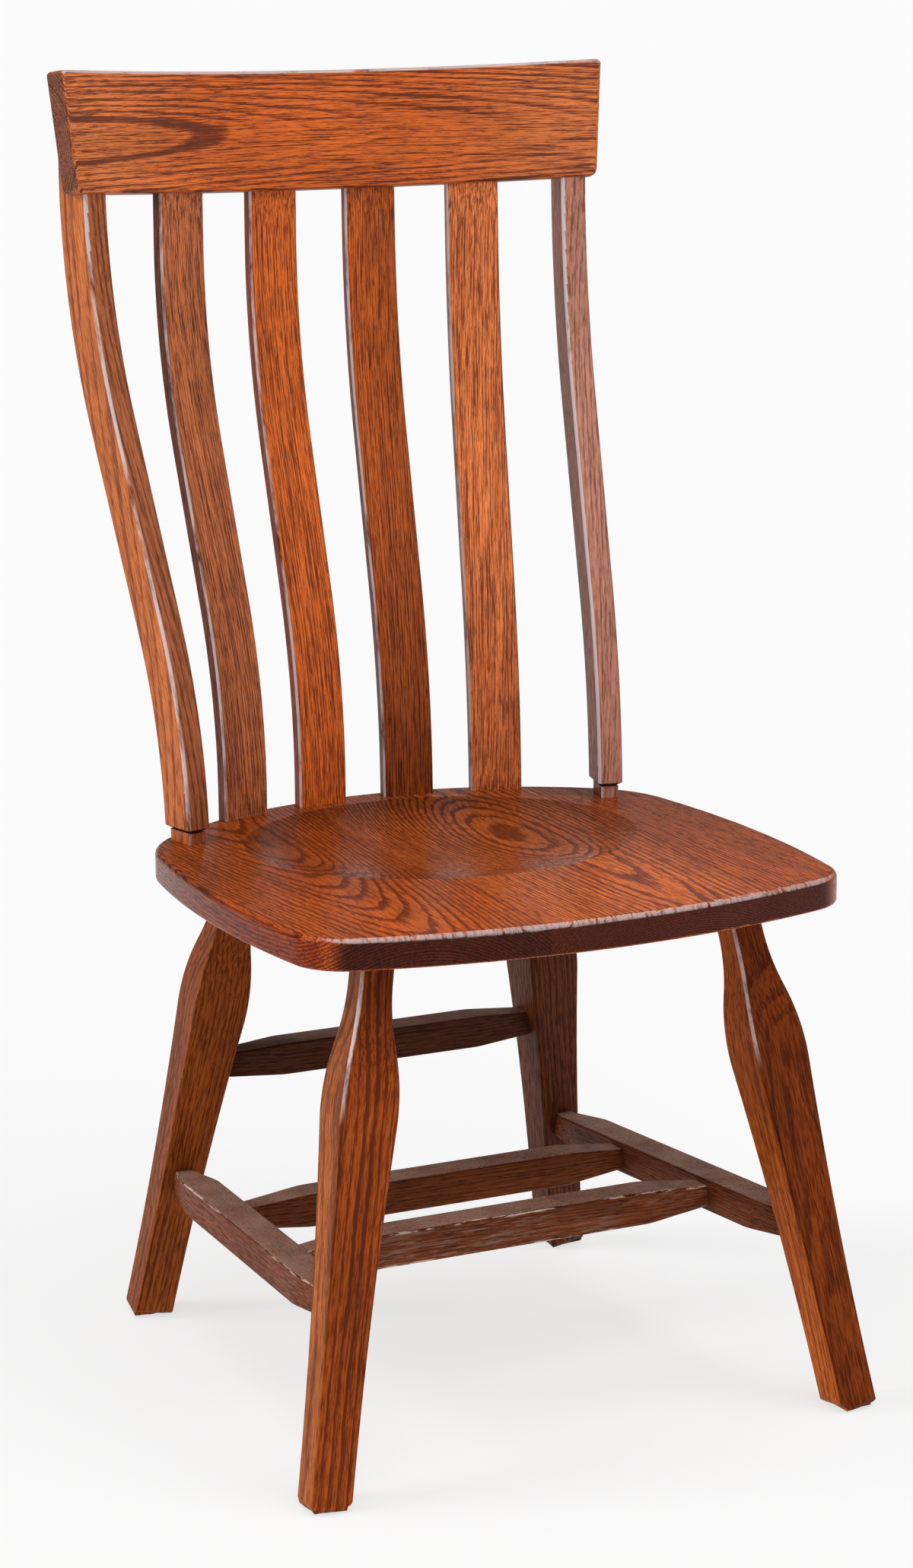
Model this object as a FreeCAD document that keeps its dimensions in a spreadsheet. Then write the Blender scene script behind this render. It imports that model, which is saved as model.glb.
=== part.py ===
import FreeCAD
import Part
import math
import os
import Sketcher

# Oak side chair, in millimetres. +Z is up, the front faces -Y and +X is on the right of someone
# who looks at the chair's front. The origin lies on the floor, under the middle of the chair.
# Expressions are kept as words, so that each feature follows the driving dimensions.

Vector = FreeCAD.Vector
document = FreeCAD.newDocument("SideChair")
sizes = document.addObject("Spreadsheet::Sheet", "Sizes")
layout = document.addObject("App::VarSet", "Layout")

# Driving dimensions: name, value, meaning
DRIVING_DIMENSIONS = [
    ("seat_height", "457", "top of the seat's rim above the floor"),
    ("seat_thickness", "26", "thickness of the seat plank"),
    ("seat_front_corner_x", "235.8", "half the seat's width at its front corners, before rounding"),
    ("seat_front_corner_y", "-248.3", "place of the front corners along the seat"),
    ("seat_rear_corner_x", "234.5", "half the seat's width at its rear corners, before rounding"),
    ("seat_rear_corner_y", "105.3", "place of the rear corners along the seat"),
    ("seat_front_bow", "734", "radius of the seat's front edge"),
    ("seat_side_bow", "966", "radius of the seat's side edges"),
    ("seat_rear_bow", "325", "radius of the seat's rear edge"),
    ("seat_front_corner_round", "49", "rounding of the front corners in plan"),
    ("seat_rear_corner_round", "95", "rounding of the rear corners in plan"),
    ("seat_top_round", "5", "rounding of the seat's upper edge"),
    ("seat_lower_round", "3", "rounding of the seat's lower edge"),
    ("left_glue_line", "-52", "joint between the seat's left and middle boards, across the chair"),
    ("right_glue_line", "146", "joint between the seat's middle and right boards, across the chair"),
    ("dish_half_width", "172", "half the width of the hollow in the seat"),
    ("dish_half_length", "148", "half the length of the hollow, front to back"),
    ("dish_centre_y", "23.5", "place of the hollow's deepest point along the seat"),
    ("dish_depth", "11", "depth of the hollow"),
    ("dish_bowl", "150", "upright half-axis of the bowl that cuts the hollow"),
    ("front_foot_x", "240", "front leg's centre line at the floor, from the middle"),
    ("front_foot_y", "-259.5", "front leg's centre line at the floor, along the chair"),
    ("front_top_x", "161.6", "front leg's centre line at the seat's underside, from the middle"),
    ("front_top_y", "-193.2", "front leg's centre line at the seat's underside, along the chair"),
    ("rear_foot_x", "207.9", "rear leg's centre line at the floor, from the middle"),
    ("rear_foot_y", "211.6", "rear leg's centre line at the floor, along the chair"),
    ("rear_top_x", "140", "rear leg's centre line at the seat's underside, from the middle"),
    ("rear_top_y", "128.7", "rear leg's centre line at the seat's underside, along the chair"),
    ("leg_turn", "3.7", "turn of the legs' faces in plan, in degrees"),
    ("leg_foot_width", "34.8", "width of a leg at the floor"),
    ("leg_shoulder_width", "48.8", "width of a leg at its shoulder"),
    ("leg_neck_width", "28.4", "width of a leg under the seat"),
    ("front_shoulder_height", "305", "height of the front legs' shoulder"),
    ("rear_shoulder_height", "299", "height of the rear legs' shoulder"),
    ("leg_ogee_length", "103", "length of the curve from shoulder to neck"),
    ("leg_arris_round", "3", "rounding of a leg's long edges"),
    ("leg_foot_round", "7", "rounding round the foot"),
    ("leg_foot_sweep", "70", "angle through which the foot's rounding turns, in degrees"),
    ("leg_tenon_width", "22", "diameter of the round tenon on a leg"),
    ("leg_tenon_length", "18", "length of the tenon in the seat"),
    ("glide_width", "20", "diameter of a floor glide"),
    ("glide_thickness", "2", "thickness of a floor glide"),
    ("glide_round", "0.8", "rounding of a glide's lower edge"),
    ("nail_width", "2.4", "diameter of a glide's nail"),
    ("nail_length", "16", "length of a glide's nail in the leg"),
    ("side_stretcher_front_height", "151", "side stretcher's centre line at the front leg"),
    ("side_stretcher_rear_height", "131.5", "side stretcher's centre line at the rear leg"),
    ("side_stretcher_width", "31", "width of a side stretcher at its middle"),
    ("side_stretcher_depth", "28.5", "height of a side stretcher's section at its middle"),
    ("side_stretcher_end_width", "16", "width of a side stretcher at its ends"),
    ("side_stretcher_end_depth", "21.5", "height of a side stretcher's section at its ends"),
    ("front_cross_y", "-95.3", "place of the front cross stretcher along the chair"),
    ("rear_cross_y", "43.7", "place of the rear cross stretcher along the chair"),
    ("cross_stretcher_width", "30", "width of a cross stretcher at its middle"),
    ("cross_stretcher_depth", "30", "height of a cross stretcher's section at its middle"),
    ("cross_stretcher_end_width", "21", "width of a cross stretcher at its ends"),
    ("cross_stretcher_end_depth", "19", "height of a cross stretcher's section at its ends"),
    ("back_stretcher_height", "237", "back stretcher's centre line above the floor"),
    ("back_stretcher_width", "30", "width of the back stretcher at its middle"),
    ("back_stretcher_depth", "29", "height of the back stretcher's section at its middle"),
    ("back_stretcher_end_width", "20", "width of the back stretcher at its ends"),
    ("back_stretcher_end_depth", "21", "height of the back stretcher's section at its ends"),
    ("stretcher_taper", "62", "length of the taper at each end of a stretcher"),
    ("stretcher_blend", "110", "radius that leads a taper into the middle"),
    ("stretcher_arris_round", "2.5", "rounding of a stretcher's long edges"),
    ("stretcher_tenon_width", "12", "diameter of the round tenons on the stretchers"),
    ("stretcher_tenon_length", "13", "length of a stretcher's tenon in its mortise"),
    ("slat_width", "47", "width of a slat"),
    ("slat_thickness", "12", "thickness of a slat"),
    ("slat_shift", "79.5", "how far back a slat bends"),
    ("slat_low_bend", "102", "height of a slat's lower bend above the seat"),
    ("slat_high_bend", "406", "height of a slat's upper bend above the seat"),
    ("slat_bend_radius", "700", "radius of the slats' bends"),
    ("slat_arris_round", "2.5", "rounding of a slat's long edges"),
    ("slat_fan_radius", "427", "radius of the arc that the slats stand on"),
    ("slat_fan_centre_y", "-245", "centre of that arc along the chair"),
    ("inner_slat_base_x", "41.5", "foot of an inner slat from the middle"),
    ("inner_slat_top_x", "46.2", "head of an inner slat from the middle"),
    ("inner_slat_turn", "5.9", "turn of an inner slat in plan, in degrees"),
    ("outer_slat_base_x", "121", "foot of an outer slat from the middle"),
    ("outer_slat_top_x", "138.1", "head of an outer slat from the middle"),
    ("outer_slat_turn", "15.8", "turn of an outer slat in plan, in degrees"),
    ("slat_tenon_width", "36", "width of the tenons on a slat"),
    ("slat_tenon_thickness", "7", "thickness of the tenons on a slat"),
    ("slat_tenon_length", "16", "length of the tenons on a slat"),
    ("post_base_x", "196.1", "foot of a post from the middle, at its front face"),
    ("post_base_y", "85.8", "foot of a post along the chair, at its front face"),
    ("post_turn", "13", "turn of a post in plan, in degrees"),
    ("post_width", "22.6", "width of a post"),
    ("post_base_depth", "37.2", "depth of a post at its foot"),
    ("post_top_depth", "41.8", "depth of a post at its top"),
    ("post_shift", "133.3", "how far back a post bends"),
    ("post_low_bend", "91", "height of a post's lower bend above the seat"),
    ("post_high_bend", "449", "height of a post's upper bend above the seat"),
    ("post_bend_radius", "560", "radius of the posts' bends"),
    ("post_reach", "586", "height of a post's top above the seat"),
    ("post_arris_round", "3.5", "rounding of a post's long edges"),
    ("post_foot_height", "10", "height of the neck under a post"),
    ("post_foot_chamfer", "3.4", "chamfer above the neck"),
    ("post_foot_slope", "60", "steepness of that chamfer, in degrees"),
    ("post_tenon_width", "12", "diameter of the round tenon under a post"),
    ("post_tenon_length", "18", "length of that tenon in the seat"),
    ("crest_front_y", "253", "crest rail's front face at the middle of its lower edge"),
    ("crest_bottom_height", "991.6", "height of the crest rail's lower edge at the middle"),
    ("crest_lean", "7.1", "lean of the crest rail, in degrees"),
    ("crest_bow", "650", "radius of the crest rail's front face"),
    ("crest_thickness", "22", "thickness of the crest rail"),
    ("crest_face_height", "102.6", "height of the crest rail along its face"),
    ("crest_lower_half_width", "244.2", "half the width of the crest rail at its lower edge"),
    ("crest_upper_half_width", "253", "half the width of the crest rail at its upper edge"),
    ("crest_lower_corner", "7", "rounding of the crest rail's lower corners"),
    ("crest_upper_corner", "4", "rounding of the crest rail's upper corners"),
    ("crest_arris_round", "3", "rounding of the crest rail's edges"),
    ("screw_lower_height", "552", "lower screws' height above the seat"),
    ("screw_upper_height", "576", "upper screws' height above the seat"),
    ("screw_length", "26", "length of a screw under its head"),
    ("screw_width", "4.2", "diameter of a screw's shank"),
    ("screw_head_width", "8", "diameter of a screw's head"),
    ("screw_head_height", "2.6", "height of a screw's head"),
    ("screw_point", "5", "length of a screw's point"),
    ("plug_width", "9.5", "diameter of a wooden plug"),
    ("plug_length", "6", "length of a wooden plug"),
    ("joint_clearance", "0.1", "room round a tenon, screw, nail or plug in its hole"),
    ("socket_spare", "0.8", "room beyond the end of a tenon"),
]

for row, (name, value, meaning) in enumerate(DRIVING_DIMENSIONS, start=1):
    sizes.set(f"A{row}", name)
    sizes.set(f"B{row}", value)
    sizes.set(f"C{row}", meaning)
    sizes.setAlias(f"B{row}", name)
document.recompute()

LEFT = -1
RIGHT = 1
AXIS_X = Vector(1, 0, 0)
AXIS_Z = Vector(0, 0, 1)
NEARLY_ALONG = 0.7
NEARLY_SQUARE = 0.5
HAIR = 0.01
TURN_AXES = {"x": "vector(1; 0; 0)", "y": "vector(0; 1; 0)", "z": "vector(0; 0; 1)"}


def derive(name, expression):
    """Keeps a value that follows from the driving dimensions, and returns the words that read it."""
    layout.addProperty("App::PropertyFloat", name, "Layout")
    layout.setExpression(name, expression)
    layout.recompute()
    return f"Layout.{name}"


def number(expression):
    """The present value of an expression."""
    return float(layout.evalExpression(expression))


def bind(piece, **expressions):
    """Binds properties of a piece to expressions."""
    for name, expression in expressions.items():
        piece.setExpression(name, expression)


def frame(x, y, z, *turns):
    """A placement in words: an origin, then turns about the piece's own axes, outermost first."""
    rotation = " * ".join(f"rotation({TURN_AXES[axis]}; {angle})" for axis, angle in turns)
    if not turns:
        rotation = f"rotation({TURN_AXES['z']}; 0)"
    return f"placement(vector({x}; {y}; {z}); {rotation})"


def on(carrier, x, y, z, *turns):
    """The same, measured from another piece's own frame."""
    return f"{carrier.Name}.Placement * {frame(x, y, z, *turns)}"


# Sketches


def attach(body, name, role, offset=None):
    """Adds an empty sketch on one of a body's own origin planes, or beside it by an offset in words."""
    sketch = body.newObject("Sketcher::SketchObject", name)
    plane = [feature for feature in body.Origin.OriginFeatures if feature.Role == role][0]
    sketch.AttachmentSupport = [(plane, "")]
    sketch.MapMode = "FlatFace"
    if offset:
        bind(sketch, AttachmentOffset=offset)
    return sketch


def bowed_edge(start, end, side, radius):
    """An arc between two corners, with its centre on the given side of the way from start to end."""
    half = (end - start) * 0.5
    reach = math.sqrt(radius**2 - half.Length**2)
    square = Vector(half.y, -half.x, 0).normalize()
    centre = start + half + square * reach * side
    circle = Part.Circle(centre, Vector(0, 0, 1), radius)
    angles = [math.atan2(point.y - centre.y, point.x - centre.x) for point in (start, end)]
    if side == RIGHT:
        angles.reverse()
    return Part.ArcOfCircle(circle, *angles)


def draw(sketch, path):
    """Draws a closed outline. Each corner is (across, up, bow), held by expressions.

    The bow is None for a straight edge from this corner to the next, or the side of its centre
    and its radius for an arc.
    """
    first = sketch.GeometryCount
    corners = [Vector(number(across), number(up), 0) for across, up, bow in path]
    for index, (across, up, bow) in enumerate(path):
        start = corners[index]
        end = corners[(index + 1) % len(path)]
        if bow is None:
            sketch.addGeometry(Part.LineSegment(start, end), False)
        else:
            side, radius = bow
            sketch.addGeometry(bowed_edge(start, end, side, number(radius)), False)
    for index, (across, up, bow) in enumerate(path):
        edge = first + index
        following = first + (index + 1) % len(path)
        next_bow = path[(index + 1) % len(path)][2]
        head = 1 if bow and bow[0] == RIGHT else 2
        tail = 2 if next_bow and next_bow[0] == RIGHT else 1
        own_tail = 2 if bow and bow[0] == RIGHT else 1
        sketch.addConstraint(Sketcher.Constraint("Coincident", edge, head, following, tail))
        for kind, words in (("DistanceX", across), ("DistanceY", up)):
            held = Sketcher.Constraint(kind, -1, 1, edge, own_tail, number(words))
            constraint = sketch.addConstraint(held)
            sketch.setExpression(f"Constraints[{constraint}]", words)
        if bow:
            held = Sketcher.Constraint("Radius", edge, number(bow[1]))
            constraint = sketch.addConstraint(held)
            sketch.setExpression(f"Constraints[{constraint}]", bow[1])


def walked_back(path, across_sign, up_sign):
    """An open path seen in a mirror and walked the other way, so that it closes the first one."""
    other = []
    for index in range(len(path) - 1, -1, -1):
        across, up, bow = path[index]
        earlier_bow = path[index - 1][2] if index else None
        other.append((f"{across_sign} * ({across})", f"{up_sign} * ({up})", earlier_bow))
    return other


# Features


def pad(body, name, sketch, length):
    """Pads a sketch to both sides of its plane."""
    feature = body.newObject("PartDesign::Pad", name)
    feature.Profile = sketch
    feature.SideType = "Symmetric"
    bind(feature, Length=length)
    return feature


def pocket(body, name, sketch, length):
    """Cuts a sketch away to both sides of its plane."""
    feature = body.newObject("PartDesign::Pocket", name)
    feature.Profile = sketch
    feature.SideType = "Symmetric"
    feature.Type = "Length"
    bind(feature, Length=length)
    return feature


def edge_names(shape, wanted):
    """Names of the edges for which wanted(middle, direction) holds."""
    names = []
    for index, edge in enumerate(shape.Edges, start=1):
        middle = edge.valueAt((edge.FirstParameter + edge.LastParameter) / 2)
        direction = edge.tangentAt((edge.FirstParameter + edge.LastParameter) / 2)
        if wanted(middle, direction):
            names.append(f"Edge{index}")
    return names


def round_body(body, name, radius, wanted):
    """Rounds chosen edges of a body's newest feature."""
    document.recompute([body])
    newest = body.Tip
    feature = body.newObject("PartDesign::Fillet", name)
    feature.Base = (newest, edge_names(newest.Shape, wanted))
    bind(feature, Radius=radius)
    return feature


def round_piece(name, base, radius, wanted):
    """A piece whose chosen edges are rounded."""
    document.recompute([base])
    feature = document.addObject("Part::Fillet", name)
    feature.Base = base
    size = number(radius)
    feature.Edges = [(int(edge[4:]), size, size) for edge in edge_names(base.Shape, wanted)]
    return feature


def boolean(kind, name, base, tool):
    """Cut, Fuse or Common of two pieces."""
    feature = document.addObject(f"Part::{kind}", name)
    feature.Base = base
    feature.Tool = tool
    return feature


def joined(name, pieces):
    """Several pieces as one tool."""
    feature = document.addObject("Part::MultiFuse", name)
    feature.Shapes = pieces
    return feature


def cylinder(name, diameter, length, placement):
    feature = document.addObject("Part::Cylinder", name)
    bind(feature, Radius=f"({diameter}) / 2", Height=length, Placement=placement)
    return feature


def box(name, length, width, height, placement):
    feature = document.addObject("Part::Box", name)
    bind(feature, Length=length, Width=width, Height=height, Placement=placement)
    return feature


def along(axis):
    """A test for edges that run along an axis, not across it."""
    return lambda middle, direction: abs(direction.dot(axis)) > NEARLY_ALONG


def level(direction):
    """Whether an edge runs level, or nearly so."""
    return abs(direction.z) < NEARLY_SQUARE


nodes = {}


def keep(piece, label):
    """Names a finished sub-part and lists it for writing."""
    piece.Label = label
    nodes[label] = piece


CLEAR = "Sizes.joint_clearance"
SPARE = "Sizes.socket_spare"
OVERRUN = derive("overrun", "Sizes.seat_thickness / 2")
UNDERSIDE = derive("underside", "Sizes.seat_height - Sizes.seat_thickness")
REACH = derive("timber_reach", "4 * Sizes.seat_front_corner_x")


# Legs: square timber, sawn to one profile from the front and from the side, then cut level

LEG_FACE = derive("leg_face", "Sizes.leg_foot_width / 2")
LEG_SWELL = derive("leg_swell", "(Sizes.leg_shoulder_width - Sizes.leg_foot_width) / 2")
LEG_WAIST = derive("leg_waist", "(Sizes.leg_shoulder_width - Sizes.leg_neck_width) / 2")
LEG_OGEE = derive("leg_ogee", f"(Sizes.leg_ogee_length ^ 2 + {LEG_WAIST} ^ 2) / (4 * {LEG_WAIST})")
FOOT_INSET = derive("foot_inset", "Sizes.leg_foot_round * (1 - cos(Sizes.leg_foot_sweep))")
FOOT_RISE = derive("foot_rise", "Sizes.leg_foot_round * sin(Sizes.leg_foot_sweep)")
TAPER_START = derive("taper_start", "2 * Sizes.leg_foot_round")


def leg_layout(row):
    """Lengths, angles and radii of a row of legs, front or rear, for the leg on the right."""
    run_x = f"(Sizes.{row}_top_x - Sizes.{row}_foot_x)"
    run_y = f"(Sizes.{row}_top_y - Sizes.{row}_foot_y)"
    turned_x = f"({run_x} * cos(Sizes.leg_turn) + {run_y} * sin(Sizes.leg_turn))"
    turned_y = f"({run_y} * cos(Sizes.leg_turn) - {run_x} * sin(Sizes.leg_turn))"
    length = derive(f"{row}_leg_length", f"sqrt({run_x} ^ 2 + {run_y} ^ 2 + {UNDERSIDE} ^ 2)")
    derive(f"{row}_leg_sideways", f"atan2({turned_x}; {UNDERSIDE}) / 1 deg")
    derive(f"{row}_leg_backwards", f"0 - asin({turned_y} / {length}) / 1 deg")
    shoulder = derive(f"{row}_leg_shoulder", f"Sizes.{row}_shoulder_height * {length} / {UNDERSIDE}")
    rise = f"({shoulder} - {TAPER_START})"
    derive(f"{row}_leg_bows", f"({rise} ^ 2 + {LEG_SWELL} ^ 2) / (2 * {LEG_SWELL})")


def leg_profile(row):
    """The right edge of a leg's profile, from under the floor to above the seat's underside."""
    shoulder = f"Layout.{row}_leg_shoulder"
    bows = f"Layout.{row}_leg_bows"
    swell = f"({LEG_FACE} + {LEG_SWELL})"
    neck = f"({swell} - {LEG_WAIST})"
    return [
        (LEG_FACE, f"-1 * {OVERRUN}", None),
        (LEG_FACE, TAPER_START, (RIGHT, f"{bows} - {LEG_OGEE}")),
        (f"{swell} - {LEG_SWELL} * {LEG_OGEE} / {bows}",
         f"{shoulder} - ({shoulder} - {TAPER_START}) * {LEG_OGEE} / {bows}", (LEFT, LEG_OGEE)),
        (f"{swell} - {LEG_WAIST} / 2", f"{shoulder} + Sizes.leg_ogee_length / 2", (RIGHT, LEG_OGEE)),
        (neck, f"{shoulder} + Sizes.leg_ogee_length", None),
        (neck, f"Layout.{row}_leg_length + {OVERRUN}", None),
    ]


def foot_waste(sole):
    """What is cut from the right of a foot to round it, above its level sole."""
    outside = f"{LEG_FACE} + {FOOT_INSET}"
    return [
        (f"{LEG_FACE} - {FOOT_INSET}", sole, (LEFT, "Sizes.leg_foot_round")),
        (LEG_FACE, f"{sole} + {FOOT_RISE}", None),
        (outside, f"{sole} + {FOOT_RISE}", None),
        (outside, f"{sole} - {OVERRUN}", None),
        (f"{LEG_FACE} - {FOOT_INSET}", f"{sole} - {OVERRUN}", None),
    ]


def leg_stock(row, side, side_name):
    """The sawn leg with rounded edges, before its ends are cut level."""
    sideways = f"({side} * Layout.{row}_leg_sideways)"
    backwards = f"Layout.{row}_leg_backwards"
    name = f"leg_{row}_{side_name}"
    body = document.addObject("PartDesign::Body", f"{name}_stock")
    right_edge = leg_profile(row)
    face = attach(body, f"{name}_face", "XZ_Plane")
    draw(face, right_edge + walked_back(right_edge, -1, 1))
    pad(body, f"{name}_blank", face, "2 * Sizes.leg_shoulder_width")
    waste = attach(body, f"{name}_waste", "YZ_Plane")
    outside = "2 * Sizes.leg_shoulder_width"
    waste_edge = right_edge + [(outside, right_edge[-1][1], None), (outside, right_edge[0][1], None)]
    draw(waste, waste_edge)
    draw(waste, walked_back(waste_edge, -1, 1))
    pocket(body, f"{name}_sawn", waste, "4 * Sizes.leg_shoulder_width")
    round_body(body, f"{name}_arrises", "Sizes.leg_arris_round", along(AXIS_Z))
    middle = f"Sizes.glide_thickness / (cos({sideways}) * cos({backwards}))"
    slopes = (("XZ_Plane", f"tan({sideways}) / cos({backwards})"), ("YZ_Plane", f"-1 * tan({backwards})"))
    for role, slope in slopes:
        lift = f"{LEG_FACE} * {slope}"
        foot = attach(body, f"{name}_foot_{role[:2]}", role)
        draw(foot, foot_waste(f"({middle} + {lift})"))
        draw(foot, walked_back(foot_waste(f"({middle} - {lift})"), -1, 1))
        pocket(body, f"{name}_foot_cut_{role[:2]}", foot, "4 * Sizes.leg_shoulder_width")
    bind(body, Placement=frame(
        f"{side} * Sizes.{row}_foot_x", f"Sizes.{row}_foot_y", "0",
        ("z", f"{side} * Sizes.leg_turn"), ("y", sideways), ("x", backwards)))
    return body


def leg_blank(row, side, side_name):
    """The leg cut level at the floor and under the seat."""
    kept = box(
        f"leg_{row}_{side_name}_kept", REACH, REACH, f"{UNDERSIDE} - Sizes.glide_thickness",
        frame(f"-1 * {REACH} / 2", f"-1 * {REACH} / 2", "Sizes.glide_thickness"))
    return boolean("Common", f"leg_{row}_{side_name}_level_cut", leg_stock(row, side, side_name), kept)


def leg_tenon(row, side_name, stock, spare_width, spare_length):
    """The round tenon on a leg, or with some room round it, its socket."""
    start = f"Layout.{row}_leg_length - {OVERRUN}"
    length = f"{OVERRUN} + Sizes.leg_tenon_length + {spare_length}"
    kind = "tenon" if spare_width == "0" else "socket"
    return cylinder(
        f"leg_{row}_{side_name}_{kind}", f"Sizes.leg_tenon_width + 2 * {spare_width}", length,
        on(stock, "0", "0", start))


ROWS = ("front", "rear")
SIDES = ((LEFT, "left"), (RIGHT, "right"))
for row in ROWS:
    leg_layout(row)
leg_blanks = {}
seat_sockets = []
for row in ROWS:
    for side, side_name in SIDES:
        blank = leg_blank(row, side, side_name)
        stock = blank.Base
        leg_blanks[row, side] = blank
        seat_sockets.append(leg_tenon(row, side_name, stock, CLEAR, SPARE))


# Floor glides: a disc under each foot, with a nail up into the leg

NAIL_TOP = derive("nail_top", "Sizes.nail_length + Sizes.glide_thickness")
glide_middle = number("Sizes.glide_thickness / 2")
glides = []
nail_holes = {}
for row in ROWS:
    for side, side_name in SIDES:
        foot = (f"{side} * Sizes.{row}_foot_x", f"Sizes.{row}_foot_y")
        name = f"glide_{row}_{side_name}"
        disc = cylinder(f"{name}_disc", "Sizes.glide_width", "Sizes.glide_thickness", frame(*foot, "0"))
        nail = cylinder(f"{name}_nail", "Sizes.nail_width", NAIL_TOP, frame(*foot, "0"))
        nail_holes[row, side] = cylinder(
            f"{name}_hole", f"Sizes.nail_width + 2 * {CLEAR}", f"{NAIL_TOP} + {SPARE}", frame(*foot, "0"))
        rounded = round_piece(
            f"{name}_rounded", disc, "Sizes.glide_round",
            lambda middle, direction: level(direction) and middle.z < glide_middle)
        glides.append(boolean("Fuse", name, rounded, nail))
floor_glides = document.addObject("Part::Compound", "floor_glides")
floor_glides.Links = glides
keep(floor_glides, "floor_glides")


# Stretchers: bars that swell in the middle, sawn to shape from two sides, with round tenons


def bar_profile(half_length, end, middle, buried):
    """The upper edge of a bar's profile, from its left end to its right end."""
    rise = f"({middle} - {end})"
    blend = "Sizes.stretcher_blend"
    taper = "Sizes.stretcher_taper"
    reach = f"sqrt({taper} ^ 2 + ({blend} - {rise}) ^ 2)"
    slope = f"(atan2({rise} - {blend}; {taper}) + asin({blend} / {reach}))"
    run = f"sqrt({reach} ^ 2 - {blend} ^ 2)"
    start = f"({half_length} - {buried})"
    left = [
        (f"-1 * {half_length}", f"{end} - {buried} * tan({slope})", None),
        (f"-1 * {start} + {run} * cos({slope})", f"{end} + {run} * sin({slope})", (RIGHT, blend)),
        (f"-1 * {start} + {taper}", middle, None),
    ]
    right = walked_back(left, -1, 1)
    return left + right


def stretcher_stock(name, kind, length, buried, placement):
    """The sawn bar with rounded edges. Its long axis is local X, its middle at the local origin."""
    body = document.addObject("PartDesign::Body", f"{name}_stock")
    half = f"({length} / 2)"
    wide = bar_profile(half, f"Sizes.{kind}_end_width / 2", f"Sizes.{kind}_width / 2", buried)
    tall = bar_profile(half, f"Sizes.{kind}_end_depth / 2", f"Sizes.{kind}_depth / 2", buried)
    plan = attach(body, f"{name}_plan", "XY_Plane")
    draw(plan, wide + walked_back(wide, 1, -1))
    outside = f"2 * Sizes.{kind}_depth"
    pad(body, f"{name}_blank", plan, outside)
    waste = attach(body, f"{name}_waste", "XZ_Plane")
    above = [(half, outside, None), (f"-1 * {half}", outside, None)]
    draw(waste, tall + above)
    draw(waste, walked_back(tall + above[:1], 1, -1) + [(f"-1 * {half}", f"-1 * {outside}", None)])
    pocket(body, f"{name}_sawn", waste, f"2 * Sizes.{kind}_width")
    round_body(body, f"{name}_arrises", "Sizes.stretcher_arris_round", along(AXIS_X))
    bind(body, Placement=placement)
    return body


def stretcher_tenons(name, stock, length, face, spare_width, spare_length):
    """Both tenons of a bar, or with some room round them, their mortises."""
    kind = "tenon" if spare_width == "0" else "mortise"
    far = f"({length} / 2 - {face} + Sizes.stretcher_tenon_length + {spare_length})"
    reach = f"Sizes.stretcher_tenon_length + {spare_length} + Sizes.stretcher_tenon_width"
    width = f"Sizes.stretcher_tenon_width + 2 * {spare_width}"
    right = on(stock, far, "0", "0", ("y", "-90"))
    left = on(stock, f"-1 * {far}", "0", "0", ("y", "90"))
    return [
        cylinder(f"{name}_{kind}_left", width, reach, left),
        cylinder(f"{name}_{kind}_right", width, reach, right),
    ]


def fitted_stretcher(name, stock, length, face, neighbours):
    """The bar cut to the faces of the two pieces that hold it, with its tenons."""
    first = boolean("Cut", f"{name}_first_cut", stock, neighbours[0])
    second = boolean("Cut", f"{name}_second_cut", first, neighbours[1])
    tenons = stretcher_tenons(name, stock, length, face, "0", "0")
    return joined(f"{name}_whole", [second] + tenons)


def leg_axis(row, height):
    """Where a right leg's centre line passes a height: across and along the chair."""
    share = f"{height} / {UNDERSIDE}"
    across = f"(Sizes.{row}_foot_x + (Sizes.{row}_top_x - Sizes.{row}_foot_x) * {share})"
    lengthwise = f"(Sizes.{row}_foot_y + (Sizes.{row}_top_y - Sizes.{row}_foot_y) * {share})"
    return across, lengthwise


leg_mortises = {key: [] for key in leg_blanks}

side_front = [derive(f"side_front_{axis}", words) for axis, words in zip(
    ("x", "y"), leg_axis("front", "Sizes.side_stretcher_front_height"))]
side_rear = [derive(f"side_rear_{axis}", words) for axis, words in zip(
    ("x", "y"), leg_axis("rear", "Sizes.side_stretcher_rear_height"))]
side_run_x = f"({side_front[0]} - {side_rear[0]})"
side_run_y = f"({side_rear[1]} - {side_front[1]})"
side_rise = "(Sizes.side_stretcher_front_height - Sizes.side_stretcher_rear_height)"
SIDE_LENGTH = derive("side_length", f"sqrt({side_run_x} ^ 2 + {side_run_y} ^ 2 + {side_rise} ^ 2)")
SIDE_TURN = derive("side_turn", f"atan2({side_run_x}; {side_run_y}) / 1 deg")
SIDE_SLOPE = derive("side_slope", f"asin({side_rise} / {SIDE_LENGTH}) / 1 deg")

side_stocks = {}
side_mortises = {}
for side, side_name in SIDES:
    name = f"stretcher_{side_name}"
    placement = frame(
        f"{side} * ({side_front[0]} + {side_rear[0]}) / 2",
        f"({side_front[1]} + {side_rear[1]}) / 2",
        "(Sizes.side_stretcher_front_height + Sizes.side_stretcher_rear_height) / 2",
        ("z", f"{side} * {SIDE_TURN} - 90"), ("y", f"-1 * {SIDE_SLOPE}"))
    stock = stretcher_stock(name, "side_stretcher", SIDE_LENGTH, LEG_FACE, placement)
    side_stocks[side] = stock
    side_mortises[side] = []
    rear_hole, front_hole = stretcher_tenons(name, stock, SIDE_LENGTH, LEG_FACE, CLEAR, SPARE)
    leg_mortises["rear", side].append(rear_hole)
    leg_mortises["front", side].append(front_hole)

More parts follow.
